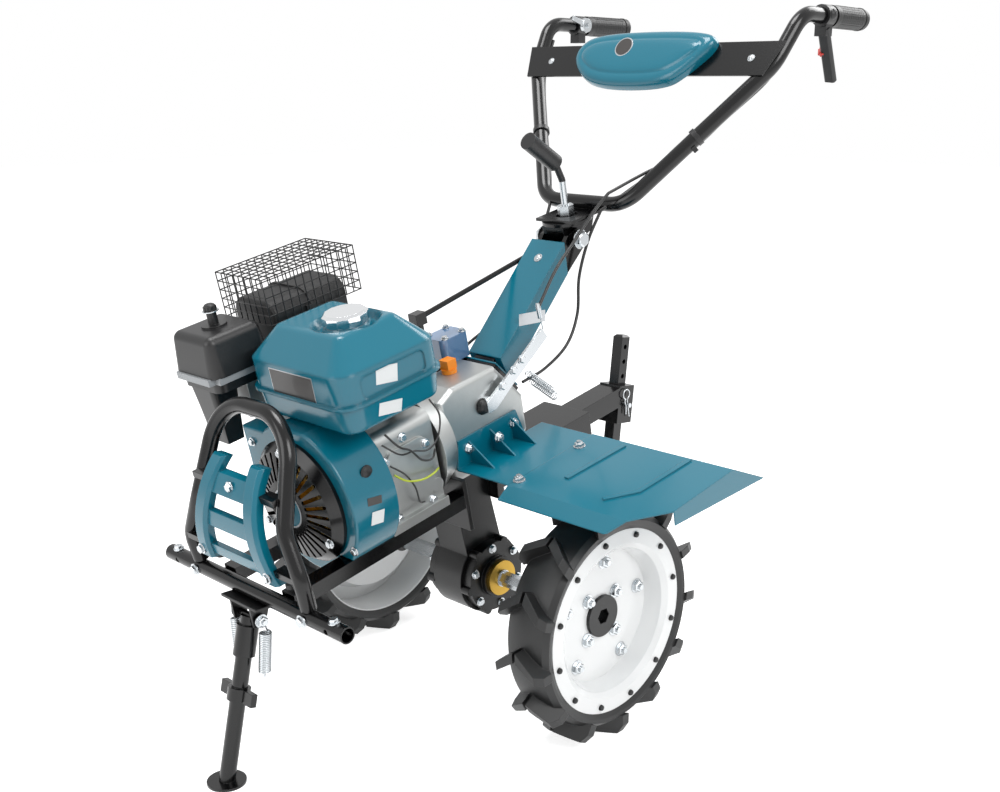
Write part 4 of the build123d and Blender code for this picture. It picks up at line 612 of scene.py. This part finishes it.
class TILLER_OT_engine(bpy.types.Operator):
    """Adds the engine's plates, plugs, screws, wires and the air cleaner's fittings"""

    bl_idname = "tiller.engine"
    bl_label = "Engine fittings"

    def execute(self, context):
        front, left, up = tipped_way(1, 0, 0), tipped_way(0, 1, 0), tipped_way(0, 0, 1)
        bolts = bmesh.new()
        for degrees in (90, 210, 330):
            turn = math.radians(degrees)
            at = tipped(330, 88 * math.cos(turn), CRANK_Z + 88 * math.sin(turn))
            bolt(bolts, seat("recoil_cover", at, front), front, 11)
        for y, z in ((104, 424), (-104, 560), (-104, 424)):
            bolt(bolts, seat("blower_housing", tipped(300, y, z), front), front, 10)
        for x, z in ((128, 420), (200, 420), (128, 520), (205, 520), (165, 545)):
            bolt(bolts, seat("engine_block", tipped(x, 90, z), left), left, 11)
        for x in (120, 185):
            bolt(bolts, seat("engine_rails", tipped(x, 75, 402), up, reach=30), up, 14)
        built(bolts, "engine_bolts", "zinc_plate", "root")

        badge = bmesh.new()
        hub = seat("recoil_cover", tipped(330, 0, CRANK_Z), front)
        cone(badge, hub, front, 1.0, 30, 29.4, 48)
        built(badge, "recoil_badge", "teal_enamel", "root")
        ring = bmesh.new()
        cone(ring, hub, front, 0.6, 32, 32, 48)
        built(ring, "recoil_badge_rim", "anodised_sheet", "root")

        plug = bmesh.new()
        at = seat("blower_housing", tipped(262, 120, 537), left)
        cone(plug, at, left, 2.0, 10.5, 10.5)
        dome(plug, at + left * 2 * MM, left, 9.0, 3.0)
        built(plug, "blower_plug", "tyre_rubber", "root")

        # A framed dark plate on the tank's front, and stickers and a small plate on the left flanks
        for name, node, (x, y, z), way, size, material, lift in (
            ("tank_plate_frame", "fuel_tank", (285, 12, 667), front, (104, 40, 0.5), "anodised_sheet", 0.1),
            ("tank_plate", "fuel_tank", (285, 12, 667), front, (101, 37, 0.5), "plate_enamel", 0.4),
            ("tank_sticker_high", "fuel_tank", (203, 130, 672), left, (40, 26, 0.3), "white_vinyl", 0.2),
            ("tank_sticker_low", "fuel_tank", (208, 130, 622), left, (44, 20, 0.3), "white_vinyl", 0.2),
            ("cowl_plate", "blower_housing", (266, 118, 494), left, (26, 12, 0.3), "plate_enamel", 0.3),
            ("cowl_sticker", "blower_housing", (266, 118, 466), left, (24, 22, 0.3), "white_vinyl", 0.3),
        ):
            patch(name, node, tipped(x, y, z), way, size, material, lift)

        self.air_cleaner(front, left, up)
        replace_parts(self.guard(front, left, up), "muffler_guard")
        for name, radius, material, route in WIRES:
            cable(name, smooth_line([tipped(*p) for p in route]), radius, material, "root")
        return {"FINISHED"}

    def air_cleaner(self, front, left, up):
        """The air cleaner's grey band, and the washer and ridged knob on its cover."""
        band = bmesh.new()
        block(band, tipped(*AIR_CLEANER, 667), (114, 119, 11), up)
        bmesh.ops.bevel(
            band, geom=[e for e in band.edges if abs((e.verts[0].co - e.verts[1].co).dot(up)) > 0.006],
            offset=0.012, segments=4, affect="EDGES",
        )
        built(band, "air_cleaner_band", "grey_nylon", "root")
        top = seat("air_cleaner_cover", tipped(*AIR_CLEANER, 730), up)
        washer = bmesh.new()
        cone(washer, top, up, WASHER, 13, 13)
        built(washer, "air_cleaner_washer", "zinc_plate", "root")
        knob = bmesh.new()
        radius, height, ridges = 9, 7, 10
        cone(knob, top + up * WASHER * MM, up, height, radius, radius)
        dome(knob, top + up * (WASHER + height) * MM, up, radius, 4)
        for i in range(ridges):
            turn = 2 * math.pi * i / ridges
            out = front * math.cos(turn) + left * math.sin(turn)
            block(knob, top + up * 5 * MM + out * radius * MM, (2.2, 2.2, 6.5), up)
        built(knob, "air_cleaner_knob", "textured_abs", "root")

    def guard(self, front, left, up):
        """The muffler's guard: a cage of welded wires with an open bottom."""
        wire, inset, cells = 1.0, 1.5, (12, 8, 5)
        xs, ys, zs = (
            [low + inset + (high - low - 2 * inset) * i / count for i in range(count + 1)]
            for low, high, count in zip(GUARD_LOW, GUARD_HIGH, cells)
        )
        x_low, y_low, z_low = (low + wire for low in GUARD_LOW)
        length, width, height = (high - low - 2 * wire for low, high in zip(GUARD_LOW, GUARD_HIGH))
        roof = GUARD_HIGH[2] - inset
        cage = bmesh.new()
        uprights = [(x, y) for x in xs for y in (ys[0], ys[-1])]
        uprights += [(x, y) for x in (xs[0], xs[-1]) for y in ys[1:-1]]
        for x, y in uprights:
            cone(cage, tipped(x, y, z_low), up, height, wire, sides=8)
        for z in zs:
            for y in (ys[0], ys[-1]):
                cone(cage, tipped(x_low, y, z), front, length, wire, sides=8)
            for x in (xs[0], xs[-1]):
                cone(cage, tipped(x, y_low, z), left, width, wire, sides=8)
        for y in ys:
            cone(cage, tipped(x_low, y, roof), front, length, wire, sides=8)
        for x in xs:
            cone(cage, tipped(x, y_low, roof), left, width, wire, sides=8)
        return built(cage, "guard_mesh", "dipped_wire", "root")


class TILLER_OT_bumper(bpy.types.Operator):
    """Bolts the front tube, the bumper hoop and its grille"""

    bl_idname = "tiller.bumper"
    bl_label = "Bumper hardware"

    def execute(self, context):
        front, up = tipped_way(1, 0, 0), tipped_way(0, 0, 1)
        bolts, spacers = bmesh.new(), bmesh.new()
        tube_x, tube_z = CROSS_TUBE
        for y in (200, -200):
            bolt(bolts, seat("cross_tube", tipped(tube_x, y, tube_z), up, reach=30), up, 12)
        for y in (138, -138):
            bolt(bolts, seat("cross_tube", tipped(tube_x, y, tube_z), front, reach=30), front, 14)
        for y, z in ((0, 560), (84, 447), (-84, 447)):
            bolt(bolts, seat("bumper_grille", tipped(430, y, z), front), front, 12)
        built(bolts, "bumper_bolts", "zinc_plate", "root")
        for y in (90, -90):
            cone(spacers, tipped(418, y, 417), up, 8, 8)
        built(spacers, "bumper_spacers", "tyre_rubber", "root")
        return {"FINISHED"}


class TILLER_OT_fenders(bpy.types.Operator):
    """Bolts the fender plates together and to their brackets"""

    bl_idname = "tiller.fenders"
    bl_label = "Fender hardware"

    def execute(self, context):
        up = tipped_way(0, 0, 1)
        bolts = bmesh.new()
        for side, name in ((1, "left"), (-1, "right")):
            for x, y in ((33, 184), (-105, 190)):
                at = seat(f"fender_outer_{name}", tipped(x, side * y, 440), up, reach=60)
                bolt(bolts, at, up, 14, stud=3)
            out = Vector((0, side, 0))
            for x in (20, -33, -86):
                at = seat(f"fender_inner_{name}", tipped(x, side * 66, 458), out, reach=40)
                bolt(bolts, at, out, 13, stud=3)
        built(bolts, "fender_bolts", "zinc_plate", "root")
        return {"FINISHED"}


class TILLER_OT_stand(bpy.types.Operator):
    """Winds the two stand springs and adds the stand's hardware"""

    bl_idname = "tiller.stand"
    bl_label = "Stand springs"

    def execute(self, context):
        turns = context.scene.tiller.spring_turns
        springs = []
        for name, side in (("left", 1), ("right", -1)):
            top, low = parked(469, side * 40, 252), parked(469.5, side * 30, 166)
            line = coil_line(top, low, radius=8.5, turns=turns, hook=10)
            coil = cable(f"stand_spring_{name}", line, 1.5, "zinc_plate", as_mesh=True)
            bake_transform(coil)
            springs.append(coil)
        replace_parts(springs[0], "stand_springs")
        bolts = bmesh.new()
        for side in (1, -1):
            out = Vector((0, side, 0))
            bolt(bolts, parked(470, side * 31, 258), out, 15, stud=3)
        built(bolts, "stand_bolts", "zinc_plate", "root")
        return {"FINISHED"}


class TILLER_OT_handle(bpy.types.Operator):
    """Adds the column's, handle block's, console's and grips' fittings"""

    bl_idname = "tiller.handle"
    bl_label = "Handle fittings"

    def console(self):
        """The console's moulded cover: its outline rounded, its edge rolled and its middle embossed."""
        corners = [
            (-150, 20), (-110, 50), (120, 50), (168, 30), (120, -30), (80, -60), (-80, -60), (-140, -20),
        ]
        # Each round cuts off every corner, a quarter of the way along the sides that meet there
        for _ in range(4):
            corners = [
                (ax * (1 - share) + bx * share, ay * (1 - share) + by * share)
                for (ax, ay), (bx, by) in zip(corners, corners[1:] + corners[:1])
                for share in (0.25, 0.75)
            ]
        # Each ring: its inset from the outline in mm and its height above the plate
        rings = (
            (0, 0), (0, 9), (1, 13), (3, 16.5), (6, 19), (11, 21), (17, 21.8), (19, 21.4), (21, 21.6),
            (23, 23.2), (26, 24.4), (34, 25.4), (44, 25.9),
        )
        # The rings shrink about the outline's middle, which is about this far from its ends and its sides
        (middle_x, middle_y), (half_x, half_y) = (4, -3), (150, 56)
        bm = bmesh.new()
        rows = []
        for inset, height in rings:
            wide, tall = 1 - inset / half_x, 1 - inset / half_y
            ring = [((x - middle_x) * wide + middle_x, (y - middle_y) * tall + middle_y) for x, y in corners]
            rows.append([bm.verts.new(on_console(x, y, height)) for x, y in ring])
        for low, high in zip(rows, rows[1:]):
            for i in range(len(corners)):
                j = (i + 1) % len(corners)
                bm.faces.new((low[i], low[j], high[j], high[i]))
        bm.faces.new(rows[-1])
        bm.faces.new(rows[0][::-1])
        bmesh.ops.recalc_face_normals(bm, faces=bm.faces[:])
        return built(bm, "console_cover_shell", "teal_enamel", "handlebar", 50)

    def execute(self, context):
        rise, left = tipped_way(math.sin(COLUMN_RISE), 0, math.cos(COLUMN_RISE)), Vector((0, 1, 0))
        screw = bmesh.new()
        at = seat("column_cover", on_column(225, 30), rise)
        cone(screw, at, rise, 1.2, 8)
        dome(screw, at + rise * 1.2 * MM, rise, 6, 3)
        built(screw, "column_screw", "zinc_plate", "root")
        plate = bmesh.new()
        block(plate, seat("column_cover", on_column(120, 6, 40), left), (64, 20, 0.5), left)
        built(plate, "column_plate", "anodised_sheet", "root")
        bolts = bmesh.new()
        for side in (1, -1):
            at = tipped(TILT_PIVOT[0], side * 42, TILT_PIVOT[1])
            bolt(bolts, at, Vector((0, side, 0)), 24, height=9)
        built(bolts, "pivot_bolts", "zinc_plate", "handle_head")
        screws = bmesh.new()
        for across in (232, -218):
            place = seat("console_plate", on_console(across, 2), CONSOLE_WAY)
            cone(screws, place, CONSOLE_WAY, 1.0, 6.5)
            dome(screws, place + CONSOLE_WAY * MM, CONSOLE_WAY, 5, 2.4)
        built(screws, "console_screws", "zinc_plate", "handlebar")
        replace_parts(self.console(), "console_cover")
        badge, rim = bmesh.new(), bmesh.new()
        for bm, radius, lift in ((rim, 19.0, 25.2), (badge, 17.0, 25.6)):
            at = on_console(-28, 12, lift)
            cone(bm, at, CONSOLE_WAY, 1.0, radius, radius - 0.4, 48)
        built(badge, "console_badge", "plate_enamel", "handlebar")
        built(rim, "console_badge_rim", "anodised_sheet", "handlebar")
        for name, side in (("left", 1), ("right", -1)):
            end, along = bar_end(side)
            ribs = bmesh.new()
            pads(ribs, end + along * 12 * MM, along, radius=18, length=82, rows=12, columns=14, height=1.5)
            cone(ribs, end + along * 1 * MM, along, 5, 19.5, 19.5, 32)
            cone(ribs, end + along * 98 * MM, along, 6, 18.6, 18.6, 32)
            built(ribs, f"grip_pads_{name}", "grip_rubber", "handlebar", 30)
            hold, down = end + along * PERCH_ALONG * MM, Vector((0, 0, -1))
            perch = bmesh.new()
            cone(perch, hold - along * 10 * MM, along, 17, 18.1, 18.1, 32)
            block(perch, hold + down * 22 * MM, (20, 22, 22), down)
            dome(perch, hold + Vector((0, 0.017, 0.002)), (0, 1, 0), 9, 6)
            built(perch, f"lever_perch_{name}", "textured_abs", "handlebar", 30)
            clip = bmesh.new()
            at, to = Vector(tipped(-492, side * 176, 837)), Vector(tipped(-500, side * 183, 844))
            cone(clip, at, to - at, 9, 15.4, 15.4, 32)
            block(clip, at + Vector((0.006, 0.006 * side, -0.016)), (10, 10, 8), to - at)
            built(clip, f"cable_clip_{name}", "textured_abs", "handlebar")
        catch = bmesh.new()
        block(catch, parked(-585, 264, 1068), (13, 30, 9), (0.4, 0, 0.9), Matrix.Rotation(0.5, 4, "Z"))
        bmesh.ops.bevel(catch, geom=catch.edges[:], offset=0.003, segments=3, affect="EDGES")
        built(catch, "lever_catch", "red_nylon", "handlebar")
        thumb = bmesh.new()
        end, along = bar_end(-1)
        hold, inward = end + along * PERCH_ALONG * MM, Vector((0, 1, 0))
        cone(thumb, hold + inward * 18 * MM, inward, 7, 14, 13, 32)
        block(thumb, hold + Vector((0.02, 0.022, 0.006)), (44, 9, 4), inward, Matrix.Rotation(-0.3, 4, "Z"))
        cone(thumb, hold + inward * 25 * MM, inward, 5, 5, 4.6, 6)
        built(thumb, "throttle_lever", "zinc_plate", "handlebar")
        return {"FINISHED"}


class TILLER_OT_cables(bpy.types.Operator):
    """Lays the three control cables from near the levers down to the machine"""

    bl_idname = "tiller.cables"
    bl_label = "Control cables"

    def execute(self, context):
        radius = context.scene.tiller.cable_diameter / MM / 2
        # Each cable runs on the bars to a point by the swivel, then on the block to the column
        bars = {
            "clutch_cable": (
                (-655, 268, 975), (-622, 262, 938), (-598, 252, 908), (-545, 208, 862), (-492, 166, 818),
                (-430, 112, 792), (-372, 78, 772),
            ),
            "brake_cable": (
                (-660, 272, 985), (-628, 270, 950), (-596, 258, 914), (-540, 212, 868), (-488, 170, 824),
                (-432, 100, 776), (-372, 56, 740),
            ),
            "throttle_cable": (
                (-655, -268, 975), (-620, -262, 936), (-590, -246, 902), (-528, -196, 848), (-474, -148, 800),
                (-420, -100, 768), (-372, -64, 740),
            ),
        }
        down = {
            "clutch_cable": (
                (-372, 78, 772), (-340, 68, 748), (-295, 60, 712), (-238, 60, 677), (-183, 62, 629),
            ),
            "brake_cable": (
                (-372, 56, 740), (-340, 48, 696), (-308, 46, 640), (-290, 48, 580), (-246, 56, 540),
                (-182, 60, 521), (-120, 64, 520),
            ),
            "throttle_cable": (
                (-372, -64, 740), (-340, -60, 700), (-290, -56, 640), (-200, -58, 590), (-120, -54, 572),
                (-40, -20, 572), (40, -10, 574), (96, -20, 582),
            ),
        }
        for name, points in bars.items():
            line = smooth_line([tipped(*p) for p in points])
            upper = cable(f"{name}_upper", line, radius, "black_pvc", as_mesh=True)
            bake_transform(upper)
            line = smooth_line([tipped(*p) for p in down[name]])
            lower = cable(f"{name}_lower", line, radius, "black_pvc", as_mesh=True)
            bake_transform(lower)
        sleeve = bmesh.new()
        at = tipped(-183, 62, 629)
        way = tipped(-187, 62, 590) - at
        cone(sleeve, at, way, 18, 4.5, 4.5, 16)
        cone(sleeve, at - way.normalized() * 8 * MM, way, 8, 3.2, 4.5, 16)
        built(sleeve, "clutch_adjuster", "zinc_plate", "root")
        cable("clutch_wire", [at, at + way * 0.5, at + way], 1.0, "zinc_plate", "root")
        return {"FINISHED"}


def seen_directly(tree):
    """One for camera, glossy and transmission rays, and nothing for the rays that light the machine."""
    path = add_node(tree, "ShaderNodeLightPath")
    total = path.outputs["Is Camera Ray"]
    for name in ("Is Glossy Ray", "Is Transmission Ray"):
        both = add_node(tree, "ShaderNodeMath", {"operation": "ADD", "use_clamp": True})
        tree.links.new(total, both.inputs[0])
        tree.links.new(path.outputs[name], both.inputs[1])
        total = both.outputs[0]
    return total


class TILLER_OT_studio(bpy.types.Operator):
    """Sets up the floor, the lamps, the white surroundings and the camera"""

    bl_idname = "tiller.studio"
    bl_label = "Studio"

    def execute(self, context):
        scene, settings = context.scene, context.scene.tiller
        scene.world = self.surroundings(settings.sky)
        scene.view_settings.view_transform = "Standard"
        self.floor(scene)
        self.lamps(scene)
        self.camera(scene, settings.lens)
        return {"FINISHED"}

    def surroundings(self, strength):
        """Plain white where the camera looks, and an even light on everything else."""
        world = bpy.data.worlds.new("studio")
        world.use_nodes = True
        tree = world.node_tree
        tree.nodes.clear()
        plain = add_node(tree, "ShaderNodeBackground", Color=WHITE, Strength=1.0)
        dim = add_node(tree, "ShaderNodeBackground", Color=WHITE, Strength=strength)
        mixed = add_node(tree, "ShaderNodeMixShader", Fac=seen_directly(tree))
        tree.links.new(dim.outputs[0], mixed.inputs[1])
        tree.links.new(plain.outputs[0], mixed.inputs[2])
        add_node(tree, "ShaderNodeOutputWorld", Surface=mixed.outputs[0])
        return world

    def floor(self, scene):
        """A wide matt floor that takes the shadows and glows for the camera alone."""
        mesh = bpy.data.meshes.new("floor")
        bm = bmesh.new()
        bmesh.ops.create_grid(bm, x_segments=1, y_segments=1, size=FLOOR_HALF)
        bm.to_mesh(mesh)
        bm.free()
        floor = bpy.data.objects.new("floor", mesh)
        scene.collection.objects.link(floor)
        material = bpy.data.materials.new("studio_floor")
        material.use_nodes = True
        tree = material.node_tree
        shader = tree.nodes["Principled BSDF"]
        shader.inputs["Base Color"].default_value = FLOOR_SHADE
        shader.inputs["Roughness"].default_value = 0.9
        shader.inputs["Emission Color"].default_value = WHITE
        seen = seen_directly(tree)
        glow = add_node(tree, "ShaderNodeMath", {"operation": "MULTIPLY"})
        tree.links.new(seen, glow.inputs[0])
        glow.inputs[1].default_value = FLOOR_GLOW
        tree.links.new(glow.outputs[0], shader.inputs["Emission Strength"])
        mesh.materials.append(material)

    def lamps(self, scene):
        """The four square lamps, each turned to the machine's middle."""
        for name, (place, size, power) in LAMPS.items():
            lamp = bpy.data.lights.new(name, "AREA")
            lamp.size = size
            lamp.energy = power
            lit = bpy.data.objects.new(name, lamp)
            lit.location = place
            lit.rotation_euler = (MIDDLE - Vector(place)).to_track_quat("-Z", "Y").to_euler()
            scene.collection.objects.link(lit)

    def camera(self, scene, lens):
        """The camera, set by where it stands and the way that it faces."""
        camera = bpy.data.cameras.new("camera")
        camera.lens = lens
        camera.sensor_width = 36
        camera.shift_y = CAMERA_SHIFT
        shot = bpy.data.objects.new("camera", camera)
        shot.location = CAMERA_AT
        level = math.cos(CAMERA_ELEVATION)
        look = -Vector((
            level * math.cos(CAMERA_AZIMUTH), level * math.sin(CAMERA_AZIMUTH), math.sin(CAMERA_ELEVATION),
        ))
        shot.rotation_euler = look.to_track_quat("-Z", "Y").to_euler()
        scene.collection.objects.link(shot)
        scene.camera = shot


class TillerSettings(bpy.types.PropertyGroup):
    """What a user may change before the pieces are made"""

    teal: FloatVectorProperty(
        name="Body colour", description="Enamel on the tank, cowls, fenders and grille", subtype="COLOR",
        default=linear("#00697e")[:3], min=0, max=1,
    )
    pan: FloatVectorProperty(
        name="Wheel colour", description="Enamel on the wheel pans", subtype="COLOR",
        default=linear("#eceded")[:3], min=0, max=1,
    )
    tube: FloatVectorProperty(
        name="Tube colour", description="Powder coat on the handlebar, hoop, stand and rails",
        subtype="COLOR", default=linear("#030304")[:3], min=0, max=1,
    )
    nubs: IntProperty(
        name="Rim nubs", description="Rubber nubs round each wheel pan", default=12, min=3, max=24,
    )
    spring_turns: IntProperty(
        name="Spring turns", description="Turns of wire in each stand spring", default=22, min=6, max=40,
    )
    cable_diameter: FloatProperty(
        name="Cable diameter", description="Outside diameter of the control cables", default=0.0055,
        min=0.003, max=0.01, unit="LENGTH", precision=4,
    )
    sky: FloatProperty(
        name="Sky light", description="Strength of the even light from all round", default=0.42, min=0, max=1,
    )
    lens: FloatProperty(
        name="Lens", description="Focal length of the camera in millimetres", default=44.49, min=10, max=200,
    )


# The operators in the order that they run
STEPS = (
    TILLER_OT_finishes, TILLER_OT_wheels, TILLER_OT_drive, TILLER_OT_hitch, TILLER_OT_engine,
    TILLER_OT_bumper, TILLER_OT_fenders, TILLER_OT_stand, TILLER_OT_handle, TILLER_OT_cables,
    TILLER_OT_studio,
)


class TILLER_PT_panel(bpy.types.Panel):
    """Lists the settings and the steps"""

    bl_idname = "TILLER_PT_panel"
    bl_label = "Rotary tiller"
    bl_space_type = "VIEW_3D"
    bl_region_type = "UI"
    bl_category = "Tiller"

    def draw(self, context):
        for name in TillerSettings.__annotations__:
            self.layout.prop(context.scene.tiller, name)
        for step in STEPS:
            self.layout.operator(step.bl_idname)


def register():
    """Registers the settings, the operators and the panel."""
    for cls in (TillerSettings, *STEPS, TILLER_PT_panel):
        bpy.utils.register_class(cls)
    bpy.types.Scene.tiller = PointerProperty(type=TillerSettings)


def unregister():
    """Takes out what register() put in."""
    del bpy.types.Scene.tiller
    for cls in reversed((TillerSettings, *STEPS, TILLER_PT_panel)):
        bpy.utils.unregister_class(cls)


def main():
    """Runs every step in order."""
    register()
    for step in STEPS:
        group, name = step.bl_idname.split(".")
        getattr(getattr(bpy.ops, group), name)()


if __name__ == "__main__":
    main()
